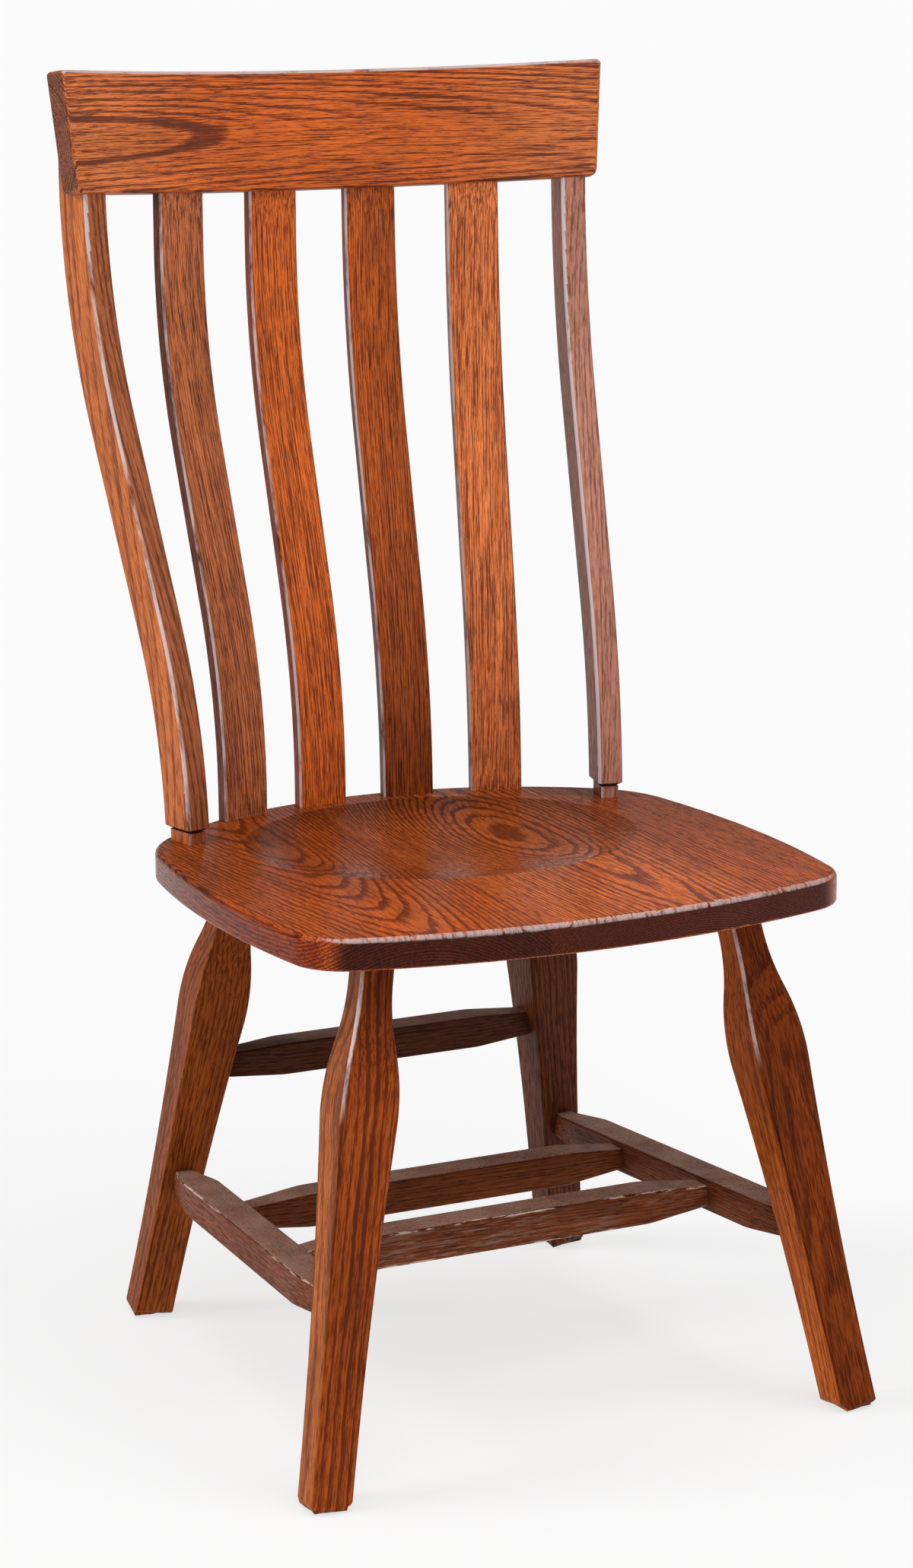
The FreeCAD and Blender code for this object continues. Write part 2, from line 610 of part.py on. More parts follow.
SIDE_FACE = derive("side_face", "Sizes.side_stretcher_width / 2")
for row in ROWS:
    name = f"stretcher_{row}_cross"
    share = derive(f"{row}_cross_share", f"(Sizes.{row}_cross_y - {side_front[1]}) / {side_run_y}")
    across = derive(f"{row}_cross_x", f"{side_front[0]} - {side_run_x} * {share}")
    length = derive(f"{row}_cross_length", f"2 * {across}")
    height = f"Sizes.side_stretcher_front_height - {side_rise} * {share}"
    stock = stretcher_stock(
        name, "cross_stretcher", length, SIDE_FACE, frame("0", f"Sizes.{row}_cross_y", height))
    neighbours = [side_stocks[LEFT], side_stocks[RIGHT]]
    keep(fitted_stretcher(name, stock, length, SIDE_FACE, neighbours), name)
    left_hole, right_hole = stretcher_tenons(name, stock, length, SIDE_FACE, CLEAR, SPARE)
    side_mortises[LEFT].append(left_hole)
    side_mortises[RIGHT].append(right_hole)

for side, side_name in SIDES:
    name = f"stretcher_{side_name}"
    neighbours = [leg_blanks["rear", side], leg_blanks["front", side]]
    whole = fitted_stretcher(name, side_stocks[side], SIDE_LENGTH, LEG_FACE, neighbours)
    holes = joined(f"{name}_mortises", side_mortises[side])
    keep(boolean("Cut", f"{name}_drilled", whole, holes), name)

back_x, back_y = leg_axis("rear", "Sizes.back_stretcher_height")
BACK_LENGTH = derive("back_length", f"2 * {back_x}")
stock = stretcher_stock(
    "stretcher_back", "back_stretcher", BACK_LENGTH, LEG_FACE,
    frame("0", back_y, "Sizes.back_stretcher_height"))
neighbours = [leg_blanks["rear", LEFT], leg_blanks["rear", RIGHT]]
keep(fitted_stretcher("stretcher_back", stock, BACK_LENGTH, LEG_FACE, neighbours), "stretcher_back")
left_hole, right_hole = stretcher_tenons("stretcher_back", stock, BACK_LENGTH, LEG_FACE, CLEAR, SPARE)
leg_mortises["rear", LEFT].append(left_hole)
leg_mortises["rear", RIGHT].append(right_hole)

for row in ROWS:
    for side, side_name in SIDES:
        name = f"leg_{row}_{side_name}"
        blank = leg_blanks[row, side]
        tenon = leg_tenon(row, side_name, blank.Base, "0", "0")
        tenoned = boolean("Fuse", f"{name}_tenoned", blank, tenon)
        holes = joined(f"{name}_holes", leg_mortises[row, side] + [nail_holes[row, side]])
        keep(boolean("Cut", f"{name}_drilled", tenoned, holes), name)


# Seat: a plank with bowed edges and a hollowed top, glued up from three boards

seat_body = document.addObject("PartDesign::Body", "seat_plank")
outline = attach(seat_body, "seat_outline", "XY_Plane")
front_x = "Sizes.seat_front_corner_x"
rear_x = "Sizes.seat_rear_corner_x"
draw(outline, [
    (f"-1 * {front_x}", "Sizes.seat_front_corner_y", (LEFT, "Sizes.seat_front_bow")),
    (front_x, "Sizes.seat_front_corner_y", (LEFT, "Sizes.seat_side_bow")),
    (rear_x, "Sizes.seat_rear_corner_y", (LEFT, "Sizes.seat_rear_bow")),
    (f"-1 * {rear_x}", "Sizes.seat_rear_corner_y", (LEFT, "Sizes.seat_side_bow")),
])
pad(seat_body, "seat_pad", outline, "Sizes.seat_thickness")
seat_middle_y = number("Sizes.seat_front_corner_y + Sizes.seat_rear_corner_y") / 2
lowest_rim = number("-1 * Sizes.seat_thickness / 2") + HAIR
round_body(
    seat_body, "seat_front_corners", "Sizes.seat_front_corner_round",
    lambda middle, direction: not level(direction) and middle.y < seat_middle_y)
round_body(
    seat_body, "seat_rear_corners", "Sizes.seat_rear_corner_round",
    lambda middle, direction: not level(direction) and middle.y > seat_middle_y)
round_body(
    seat_body, "seat_top_edge", "Sizes.seat_top_round",
    lambda middle, direction: level(direction) and middle.z > 0)
round_body(
    seat_body, "seat_lower_edge", "Sizes.seat_lower_round",
    lambda middle, direction: level(direction) and middle.z < lowest_rim)
bind(seat_body, Placement=frame("0", "0", "Sizes.seat_height - Sizes.seat_thickness / 2"))

bowl = document.addObject("Part::Ellipsoid", "seat_bowl")
BOWL_SHARE = derive("bowl_share", "sqrt(1 - (1 - Sizes.dish_depth / Sizes.dish_bowl) ^ 2)")
bind(
    bowl,
    Radius1="Sizes.dish_bowl",
    Radius2=f"Sizes.dish_half_width / {BOWL_SHARE}",
    Radius3=f"Sizes.dish_half_length / {BOWL_SHARE}",
    Placement=frame("0", "Sizes.dish_centre_y", "Sizes.seat_height + Sizes.dish_bowl - Sizes.dish_depth"),
)
seat_hollowed = boolean("Cut", "seat_hollowed", seat_body, bowl)


# Crest rail: a bowed board that leans back, its ends cut square to the bow

crest_body = document.addObject("PartDesign::Body", "crest_stock")
plan = attach(crest_body, "crest_plan", "XY_Plane")
crest_end = derive("crest_end", "Sizes.crest_upper_half_width + Sizes.crest_thickness")
rear_bow = "(Sizes.crest_bow + Sizes.crest_thickness)"
front_drop = f"(sqrt(Sizes.crest_bow ^ 2 - {crest_end} ^ 2) - Sizes.crest_bow)"
rear_drop = f"(sqrt({rear_bow} ^ 2 - {crest_end} ^ 2) - Sizes.crest_bow)"
draw(plan, [
    (f"-1 * {crest_end}", front_drop, (RIGHT, "Sizes.crest_bow")),
    (crest_end, front_drop, None),
    (crest_end, rear_drop, (LEFT, rear_bow)),
    (f"-1 * {crest_end}", rear_drop, None),
])
band = crest_body.newObject("PartDesign::Pad", "crest_band")
band.Profile = plan
bind(band, Length="Sizes.crest_face_height")
margin = "Sizes.crest_thickness"
above_crest = f"(Sizes.crest_face_height + {margin})"
CREST_END_TURN = derive("crest_end_turn", "asin(Sizes.crest_lower_half_width / Sizes.crest_bow) / 1 deg")
CREST_SPREAD = derive(
    "crest_spread",
    "(Sizes.crest_upper_half_width - Sizes.crest_lower_half_width)"
    f" / (Sizes.crest_face_height * cos({CREST_END_TURN}))")
for side, side_name in SIDES:
    offset = frame("0", "0", "Sizes.crest_bow", ("y", f"{-side} * {CREST_END_TURN}"))
    ends = attach(crest_body, f"crest_{side_name}_end", "XZ_Plane", offset)
    end_waste = [
        (f"-1 * {margin} * {CREST_SPREAD}", f"-1 * {margin}", None),
        (crest_end, f"-1 * {margin}", None),
        (crest_end, above_crest, None),
        (f"{above_crest} * {CREST_SPREAD}", above_crest, None),
    ]
    draw(ends, end_waste if side == RIGHT else walked_back(end_waste, -1, 1))
    pocket(crest_body, f"crest_{side_name}_end_cut", ends, "4 * Sizes.crest_bow")
crest_half_height = number("Sizes.crest_face_height") / 2
round_body(
    crest_body, "crest_lower_corners", "Sizes.crest_lower_corner",
    lambda middle, direction: abs(direction.y) > NEARLY_ALONG and middle.z < crest_half_height)
round_body(
    crest_body, "crest_upper_corners", "Sizes.crest_upper_corner",
    lambda middle, direction: abs(direction.y) > NEARLY_ALONG and middle.z > crest_half_height)
crest_place = frame("0", "Sizes.crest_front_y", "Sizes.crest_bottom_height", ("x", "-1 * Sizes.crest_lean"))
bind(crest_body, Placement=crest_place)
crest_room = cylinder(
    "crest_room", "2 * (Sizes.crest_bow + Sizes.crest_thickness)", REACH,
    on(crest_body, "0", "-1 * Sizes.crest_bow", "0"))


# Slats and posts: boards bent to one long curve


def bent_edge(name, start, shift, low, high, low_radius, high_radius):
    """One edge of a bent board, from its lower bend to its upper bend, and the lean between."""
    lean = derive(f"{name}_lean", f"atan({shift} / ({high} - {low})) / 1 deg")
    low_reach = derive(f"{name}_low_reach", f"({low_radius}) * tan({lean} / 2)")
    high_reach = derive(f"{name}_high_reach", f"({high_radius}) * tan({lean} / 2)")
    return [
        (start, f"{low} - {low_reach}", (RIGHT, low_radius)),
        (f"{start} + {low_reach} * sin({lean})", f"{low} + {low_reach} * cos({lean})", None),
        (f"{start} + {shift} - {high_reach} * sin({lean})", f"{high} - {high_reach} * cos({lean})",
         (LEFT, high_radius)),
        (f"{start} + {shift}", f"{high} + {high_reach}", None),
    ]


def bent_profile(kind, base_depth, top_depth, foot, top):
    """The side view of a bent board: across is backwards, from its front face at the foot."""
    shift = f"Sizes.{kind}_shift"
    low = f"Sizes.{kind}_low_bend"
    high = f"Sizes.{kind}_high_bend"
    radius = f"Sizes.{kind}_bend_radius"
    front = bent_edge(f"{kind}_front", "0", shift, low, high, radius, radius)
    half_lean = f"tan(Layout.{kind}_front_lean / 2)"
    back = bent_edge(
        f"{kind}_back", base_depth, f"({shift} + {top_depth} - {base_depth})",
        f"({low} - {base_depth} * {half_lean})", f"({high} - {top_depth} * {half_lean})",
        f"{radius} - {base_depth}", f"{radius} + {top_depth}")
    going_up = [("0", foot, None)] + front + [(shift, top, None)]
    back_up = [(base_depth, foot, None)] + back + [(f"{shift} + {top_depth}", top, None)]
    going_down = [
        (across, up, reversed_bow(back_up[index - 1][2]) if index else None)
        for index, (across, up, bow) in reversed(list(enumerate(back_up)))
    ]
    return going_up + going_down


def reversed_bow(bow):
    """The bow of an edge that is walked the other way."""
    return (-bow[0], bow[1]) if bow else None


CREST_LIFT = derive("crest_lift", "Sizes.crest_bottom_height - Sizes.seat_height")
slat_path = bent_profile(
    "slat", "Sizes.slat_thickness", "Sizes.slat_thickness",
    "-1 * Sizes.slat_thickness", f"{CREST_LIFT} + Sizes.slat_thickness")
crest_sockets = []


def slat_tenons(name, stock, spare_width, spare_length):
    """The two tenons of a slat, or with some room round them, their mortises."""
    kind = "tenon" if spare_width == "0" else "mortise"
    width = f"(Sizes.slat_tenon_width + 2 * {spare_width})"
    thickness = f"(Sizes.slat_tenon_thickness + 2 * {spare_width})"
    height = f"2 * Sizes.slat_tenon_length + {spare_length}"
    front = f"(Sizes.slat_thickness - {thickness}) / 2"
    lower = box(
        f"{name}_lower_{kind}", width, thickness, height,
        on(stock, f"-1 * {width} / 2", front, f"-1 * Sizes.slat_tenon_length - {spare_length}"))
    upper = box(
        f"{name}_upper_{kind}", width, thickness, height,
        on(stock, f"-1 * {width} / 2", f"Sizes.slat_shift + {front}",
           f"{CREST_LIFT} - Sizes.slat_tenon_length"))
    return lower, upper


slat_number = 0
for side, place in ((LEFT, "outer"), (LEFT, "inner"), (RIGHT, "inner"), (RIGHT, "outer")):
    slat_number += 1
    name = f"slat_{slat_number}"
    base_x = f"Sizes.{place}_slat_base_x"
    turn = f"Sizes.{place}_slat_turn"
    body = document.addObject("PartDesign::Body", f"{name}_stock")
    profile = attach(body, f"{name}_profile", "YZ_Plane")
    draw(profile, slat_path)
    pad(body, f"{name}_blank", profile, "Sizes.slat_width")
    round_body(body, f"{name}_arrises", "Sizes.slat_arris_round", along(AXIS_Z))
    drift = f"((Sizes.{place}_slat_top_x - {base_x} - Sizes.slat_shift * sin({turn})) / cos({turn}))"
    bind(body, Placement=frame(
        f"{side} * {base_x}",
        f"Sizes.slat_fan_centre_y + sqrt(Sizes.slat_fan_radius ^ 2 - {base_x} ^ 2)",
        "Sizes.seat_height",
        ("z", f"{-side} * {turn}"),
        ("y", f"{side} * atan({drift} / {CREST_LIFT})")))
    on_seat = boolean("Cut", f"{name}_on_seat", body, seat_hollowed)
    under_crest = boolean("Cut", f"{name}_under_crest", on_seat, crest_room)
    lower, upper = slat_tenons(name, body, "0", "0")
    keep(joined(f"{name}_whole", [under_crest, lower, upper]), name)
    lower, upper = slat_tenons(name, body, CLEAR, SPARE)
    seat_sockets.append(lower)
    crest_sockets.append(upper)

post_path = bent_profile(
    "post", "Sizes.post_base_depth", "Sizes.post_top_depth", "-1 * Sizes.post_base_depth", "Sizes.post_reach")
NECK_WIDTH = derive("neck_width", "Sizes.post_width - 2 * Sizes.post_foot_chamfer")
NECK_DEPTH = derive("neck_depth", "Sizes.post_base_depth - 2 * Sizes.post_foot_chamfer")
NECK_ROUND = "Sizes.post_foot_chamfer / 2"
POST_BACK = derive("post_back", "Sizes.post_shift + Sizes.post_top_depth")


def screw_and_plug(name, stock, height):
    """A screw, its plug and their holes, level in a post and driven forwards."""
    plug_floor = f"{POST_BACK} - Sizes.plug_length"
    forwards = ("x", "90")
    seat = f"{plug_floor} - Sizes.screw_head_height"
    plug = cylinder(
        f"{name}_plug", "Sizes.plug_width", "Sizes.plug_length", on(stock, "0", POST_BACK, height, forwards))
    head = cylinder(
        f"{name}_head", "Sizes.screw_head_width", "Sizes.screw_head_height",
        on(stock, "0", plug_floor, height, forwards))
    shank = cylinder(
        f"{name}_shank", "Sizes.screw_width", "Sizes.screw_length - Sizes.screw_point",
        on(stock, "0", seat, height, forwards))
    point = document.addObject("Part::Cone", f"{name}_point")
    bind(
        point, Radius1="Sizes.screw_width / 2", Radius2="Sizes.screw_width / 10", Height="Sizes.screw_point",
        Placement=on(stock, "0", f"{seat} - Sizes.screw_length + Sizes.screw_point", height, forwards))
    screw = joined(name, [head, shank, point])
    plug_hole = cylinder(
        f"{name}_plug_hole", f"Sizes.plug_width + 2 * {CLEAR}",
        "2 * Sizes.plug_length + Sizes.screw_head_height",
        on(stock, "0", f"{POST_BACK} + Sizes.plug_length", height, forwards))
    screw_hole = cylinder(
        f"{name}_screw_hole", f"Sizes.screw_width + 2 * {CLEAR}",
        f"{POST_BACK} - ({seat}) + Sizes.screw_length + {SPARE}",
        on(stock, "0", POST_BACK, height, forwards))
    return screw, plug, plug_hole, screw_hole


screws = []
plugs = []
for side, side_name in SIDES:
    name = f"post_{side_name}"
    body = document.addObject("PartDesign::Body", f"{name}_stock")
    profile = attach(body, f"{name}_profile", "YZ_Plane")
    draw(profile, post_path)
    pad(body, f"{name}_blank", profile, "Sizes.post_width")
    under_foot = attach(body, f"{name}_under_foot", "YZ_Plane")
    far = "2 * Sizes.post_base_depth"
    draw(under_foot, [
        (f"-1 * {far}", f"-1 * {far}", None),
        (far, f"-1 * {far}", None),
        (far, "Sizes.post_foot_height", None),
        (f"-1 * {far}", "Sizes.post_foot_height", None),
    ])
    pocket(body, f"{name}_foot_cut", under_foot, "2 * Sizes.post_width")
    round_body(body, f"{name}_arrises", "Sizes.post_arris_round", along(AXIS_Z))
    document.recompute([body])
    arrises = body.Tip
    foot_level = number("Sizes.post_foot_height") + HAIR
    foot_edges = edge_names(arrises.Shape, lambda middle, direction: middle.z < foot_level)
    chamfer = body.newObject("PartDesign::Chamfer", f"{name}_foot_chamfer")
    chamfer.Base = (arrises, foot_edges)
    chamfer.ChamferType = "Distance and Angle"
    bind(chamfer, Size="Sizes.post_foot_chamfer", Angle="Sizes.post_foot_slope")
    bind(body, Placement=frame(
        f"{side} * Sizes.post_base_x", "Sizes.post_base_y", "Sizes.seat_height",
        ("z", f"{-side} * Sizes.post_turn")))
    housed = boolean("Cut", f"{name}_housed", body, crest_room)
    neck = box(
        f"{name}_neck", NECK_WIDTH, NECK_DEPTH, f"2 * Sizes.post_foot_height",
        on(body, f"-1 * {NECK_WIDTH} / 2", "Sizes.post_foot_chamfer", "-1 * Sizes.post_foot_height"))
    rounded_neck = round_piece(f"{name}_neck_rounded", neck, NECK_ROUND, along(AXIS_Z))
    fitted_neck = boolean("Cut", f"{name}_neck_fitted", rounded_neck, seat_hollowed)
    middle = "Sizes.post_base_depth / 2"
    tenon = cylinder(
        f"{name}_tenon", "Sizes.post_tenon_width", "Sizes.post_tenon_length + Sizes.post_foot_height / 2",
        on(body, "0", middle, "-1 * Sizes.post_tenon_length"))
    seat_sockets.append(cylinder(
        f"{name}_socket", f"Sizes.post_tenon_width + 2 * {CLEAR}",
        f"2 * Sizes.post_tenon_length + {SPARE}",
        on(body, "0", middle, f"-1 * Sizes.post_tenon_length - {SPARE}")))
    whole = joined(f"{name}_joined", [housed, fitted_neck, tenon])
    holes = []
    for level, height in (("lower", "Sizes.screw_lower_height"), ("upper", "Sizes.screw_upper_height")):
        screw, plug, plug_hole, screw_hole = screw_and_plug(f"screw_{side_name}_{level}", body, height)
        screws.append(screw)
        plugs.append(plug)
        holes += [plug_hole, screw_hole]
        crest_sockets.append(screw_hole)
    drill = joined(f"{name}_holes", holes)
    keep(boolean("Cut", f"{name}_drilled", whole, drill), name)

for label, pieces in (("crest_screws", screws), ("screw_plugs", plugs)):
    group = document.addObject("Part::Compound", label)
    group.Links = pieces
    keep(group, label)


def on_crest_rim(point):
    """Whether a point lies on the front or the back face of the crest rail."""
    local = crest_body.Placement.inverse().multVec(point)
    bow = number("Sizes.crest_bow")
    depth = math.hypot(local.x, local.y + bow) - bow
    return min(abs(depth), abs(depth - number("Sizes.crest_thickness"))) < HAIR


crest_softened = round_piece(
    "crest_softened", crest_body, "Sizes.crest_arris_round",
    lambda middle, direction: on_crest_rim(middle))
crest_tool = joined("crest_sockets", crest_sockets)
keep(boolean("Cut", "crest_drilled", crest_softened, crest_tool), "crest_rail")

seat_tool = joined("seat_sockets", seat_sockets)
seat_drilled = boolean("Cut", "seat_drilled", seat_hollowed, seat_tool)
board_spans = (
    (f"-1 * {REACH}", f"{REACH} + Sizes.left_glue_line"),
    ("Sizes.left_glue_line", "Sizes.right_glue_line - Sizes.left_glue_line"),
    ("Sizes.right_glue_line", f"{REACH} - Sizes.right_glue_line"),
)
for index, (start, width) in enumerate(board_spans, start=1):
    slab = box(
        f"board_{index}_slab", width, REACH, "2 * Sizes.seat_thickness",
        frame(start, f"-1 * {REACH} / 2", f"{UNDERSIDE} - Sizes.seat_thickness / 2"))
    keep(boolean("Common", f"board_{index}_cut", seat_drilled, slab), f"seat_board_{index}")
document.recompute()

failed = [piece.Name for piece in document.Objects if {"Invalid", "Error"} & set(piece.State)]
if failed:
    raise RuntimeError(f"failed: {failed}")
for label, piece in nodes.items():
    if piece.Shape.isNull() or not piece.Shape.isValid():
        raise RuntimeError(f"{label} has no valid shape")
os.makedirs("parts", exist_ok=True)
for label, piece in nodes.items():
    piece.Shape.exportStep(f"parts/{label}.step")
    print(label, len(piece.Shape.Solids), round(piece.Shape.Volume / 1000, 1))
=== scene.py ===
import math

import bpy
import numpy as np
from mathutils import Matrix, Vector

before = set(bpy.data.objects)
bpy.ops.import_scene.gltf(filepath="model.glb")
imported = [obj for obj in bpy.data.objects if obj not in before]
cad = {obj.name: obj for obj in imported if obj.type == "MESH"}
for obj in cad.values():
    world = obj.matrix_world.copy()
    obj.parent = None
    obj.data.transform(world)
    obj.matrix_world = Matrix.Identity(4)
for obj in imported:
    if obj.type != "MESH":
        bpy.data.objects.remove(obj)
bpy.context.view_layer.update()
scene = bpy.context.scene

# Directions of the chair: X to the right as seen from its front, Y to its back, Z up
WORLD_X = (1, 0, 0)
WORLD_Y = (0, 1, 0)
WORLD_Z = (0, 0, 1)

# Camera: place and angles found from the photograph, in metres, degrees and the photograph's pixels
PHOTO_WIDTH = 1200
PHOTO_HEIGHT = 2062
CAMERA_PLACE = Vector((-1.30192, -2.74484, 1.17871))
YAW, PITCH, ROLL = (math.radians(angle) for angle in (25.08, -12.56, -0.52))
FOCAL_PIXELS = 4846.05
PRINCIPAL_X, PRINCIPAL_Y = 571.22, 1038.64
SENSOR = 36.0
FARTHEST = 1000


def add_camera():
    forward = Vector((math.sin(YAW) * math.cos(PITCH), math.cos(YAW) * math.cos(PITCH), math.sin(PITCH)))
    level = Vector((math.cos(YAW), -math.sin(YAW), 0))
    upright = level.cross(forward)
    right = level * math.cos(ROLL) + upright * math.sin(ROLL)
    up = -level * math.sin(ROLL) + upright * math.cos(ROLL)
    turn = Matrix((right, up, -forward)).transposed().to_4x4()
    data = bpy.data.cameras.new("camera")
    data.sensor_fit = "VERTICAL"
    data.sensor_height = SENSOR
    data.lens = FOCAL_PIXELS * SENSOR / PHOTO_HEIGHT
    data.shift_x = (PHOTO_WIDTH / 2 - PRINCIPAL_X) / PHOTO_HEIGHT
    data.shift_y = (PRINCIPAL_Y - PHOTO_HEIGHT / 2) / PHOTO_HEIGHT
    data.clip_end = FARTHEST
    camera = bpy.data.objects.new("camera", data)
    camera.matrix_world = Matrix.Translation(CAMERA_PLACE) @ turn
    scene.collection.objects.link(camera)
    scene.camera = camera


# Sockets of a colour mix
MIX_FIRST, MIX_SECOND, MIX_RESULT = 6, 7, 2
# How far a seed moves noise in each direction
SEED_SHARES = (1.0, 1.7, 0.6)


class Tree:
    """A shader's node tree, built one node at a time."""

    def __init__(self, tree):
        tree.nodes.clear()
        self.tree = tree

    def node(self, kind, **values):
        made = self.tree.nodes.new(kind)
        for name, value in values.items():
            setattr(made, name, value)
        return made

    def put(self, socket, value):
        """Joins another node's output to a socket, or sets the socket to a constant."""
        if hasattr(value, "is_output"):
            self.tree.links.new(value, socket)
        else:
            socket.default_value = value

    def math(self, operation, *values):
        made = self.node("ShaderNodeMath", operation=operation)
        for index, value in enumerate(values):
            self.put(made.inputs[index], value)
        return made.outputs[0]

    def add(self, *values):
        total = values[0]
        for value in values[1:]:
            total = self.math("ADD", total, value)
        return total

    def times(self, *values):
        total = values[0]
        for value in values[1:]:
            total = self.math("MULTIPLY", total, value)
        return total

    def minus(self, first, second):
        return self.math("SUBTRACT", first, second)

    def larger(self, first, second):
        return self.math("MAXIMUM", first, second)

    def unsigned(self, value):
        return self.math("ABSOLUTE", value)

    def vector(self, x, y, z):
        made = self.node("ShaderNodeCombineXYZ")
        for index, value in enumerate((x, y, z)):
            self.put(made.inputs[index], value)
        return made.outputs[0]

    def parts(self, vector):
        made = self.node("ShaderNodeSeparateXYZ")
        self.put(made.inputs[0], vector)
        return made.outputs

    def object_place(self):
        return self.node("ShaderNodeTexCoord").outputs["Object"]

    def dot(self, vector, axis):
        made = self.node("ShaderNodeVectorMath", operation="DOT_PRODUCT")
        self.put(made.inputs[0], vector)
        made.inputs[1].default_value = axis
        return made.outputs["Value"]

    def noise(self, place, scale, detail, roughness=0.5):
        made = self.node("ShaderNodeTexNoise", noise_dimensions="3D")
        self.put(made.inputs["Vector"], place)
        made.inputs["Scale"].default_value = scale
        made.inputs["Detail"].default_value = detail
        made.inputs["Roughness"].default_value = roughness
        return made.outputs["Fac"]

    def stretched(self, place, seed, kind):
        """Noise of a kind, which says its three scales, detail and roughness, moved by a seed."""
        scales, detail, roughness = kind
        made = self.node("ShaderNodeVectorMath", operation="MULTIPLY_ADD")
        self.put(made.inputs[0], place)
        made.inputs[1].default_value = scales
        made.inputs[2].default_value = tuple(seed * share for share in SEED_SHARES)
        return self.noise(made.outputs[0], 1.0, detail, roughness)

    def span(self, value, low, high, to_low=0.0, to_high=1.0):
        """A value's way from low to high, as a straight way from to_low to to_high."""
        return self.mapped("LINEAR", value, low, high, to_low, to_high)

    def ease(self, value, low, high, to_low=0.0, to_high=1.0):
        """The same with soft ends."""
        return self.mapped("SMOOTHSTEP", value, low, high, to_low, to_high)

    def mapped(self, kind, *entries):
        made = self.node("ShaderNodeMapRange", interpolation_type=kind)
        for index, entry in enumerate(entries):
            self.put(made.inputs[index], entry)
        return made.outputs[0]

    def ramp(self, value, stops):
        made = self.node("ShaderNodeValToRGB")
        self.put(made.inputs[0], value)
        entries = made.color_ramp.elements
        while len(entries) < len(stops):
            entries.new(0.5)
        for entry, (place, colour) in zip(entries, stops):
            entry.position = place
            entry.color = (*colour, 1)
        return made.outputs[0]

    def mix(self, kind, share, first, second):
        made = self.node("ShaderNodeMix", data_type="RGBA", blend_type=kind)
        self.put(made.inputs[0], share)
        for index, colour in ((MIX_FIRST, first), (MIX_SECOND, second)):
            self.put(made.inputs[index], colour if hasattr(colour, "is_output") else (*colour, 1))
        return made.outputs[MIX_RESULT]

    def tint(self, share, colour, factors):
        """A colour multiplied by factors, as far as a share says."""
        return self.mix("MULTIPLY", share, colour, factors)

    def cover(self, share, colour, coat):
        """A colour under a coat of another, as far as a share says."""
        return self.mix("MIX", share, colour, coat)

    def shade(self, colour, roughness, constants, height, relief):
        """The tree's end: a principled shader with its relief, given as strength and distance."""
        shader = self.node("ShaderNodeBsdfPrincipled")
        self.put(shader.inputs["Base Color"], colour)
        self.put(shader.inputs["Roughness"], roughness)
        for name, value in constants.items():
            shader.inputs[name].default_value = value
        bump = self.node("ShaderNodeBump")
        bump.inputs["Strength"].default_value, bump.inputs["Distance"].default_value = relief
        self.put(bump.inputs["Height"], height)
        self.put(shader.inputs["Normal"], bump.outputs[0])
        self.put(self.node("ShaderNodeOutputMaterial").inputs[0], shader.outputs[0])


def new_material(name):
    made = bpy.data.materials.new(name)
    made.use_nodes = True
    return made, Tree(made.node_tree)


def linear(red, green, blue):
    """A colour as it is seen on a screen, 0 to 255, turned into the renderer's own scale."""
    shares = (entry / 255 for entry in (red, green, blue))
    return tuple(share / 12.92 if share <= 0.04045 else ((share + 0.055) / 1.055) ** 2.4 for share in shares)


# A direction as across, depth and along, and a place along a piece that lies before its beginning
LEFT_FRONT = (-1, -1, 0)
EVERYWHERE = -9.0


def glint(strength, towards=LEFT_FRONT, dashes=(60.0, 60.0, 13.0), lowest=EVERYWHERE, gaps=0.36):
    """A painted highlight, dashed, on the arrises that are turned one way, from a lowest place along the
    piece.
    """
    return strength, towards, dashes, lowest, gaps


# Oak as most pieces have it. Lengths are in metres, places across and deep are those of a piece's own frame.
OAK = dict(
    # The stain on a screen, and what the darkest and the palest grain make of it
    colour=(150, 78, 42), dark=(0.40, 0.33, 0.36), pale=(1.3, 1.32, 1.3),
    # The log's heart: where it lies from the piece's middle, how it leans, and how far it wanders
    pith_across=0.0, pith_depth=0.07, tilt=0.035, waver=0.012,
    # Year rings: distance, ripples and strength, and one strong ring as radius, width, near, far, least
    ring=0.0032, ripple=0.0022, bands=0.7, figure=None,
    # Fine grain: strength of pores, streaks and rays, how fine it is, and how much of it is left out
    pores=0.36, streaks=0.3, rays=0.15, grain=1.0, sparse=0.0,
    # Patches, ripples, a fade of painted light and shade as two places along with their brightness, a tint
    # as near, far, factors
    patches=0.3, ripples=0.0, fade=None, blush=None,
    # What the narrow sides, partly painted light and shade, the arrises, the ends and the painted shade on
    # the slope of a hollow make of the colour
    sides=(1.0, 1.0, 1.0), arris=0.55, ends=(0.4, 0.38, 0.45), hollow=0.0,
    # What age puts on top, with painted light: dust that is partly a painted sheen, wear, and painted glints
    dust_and_sheen=0.0, wear=0.0, painted_glints=None,
    # The lacquer, the cubic of a bent board, and a number that moves all noise
    rough=0.4, gloss=0.2, bend=(0.0,) * 4, seed=0.0)


class Wood:
    """What one stick or board of oak looks like, and how it was cut from its log."""

    def __init__(self, along, across, origin, **look):
        self.along = Vector(along).normalized()
        across = Vector(across)
        self.across = (across - self.along * across.dot(self.along)).normalized()
        self.depth = self.along.cross(self.across)
        self.origin = Vector(origin)
        self.look = {**OAK, **look}


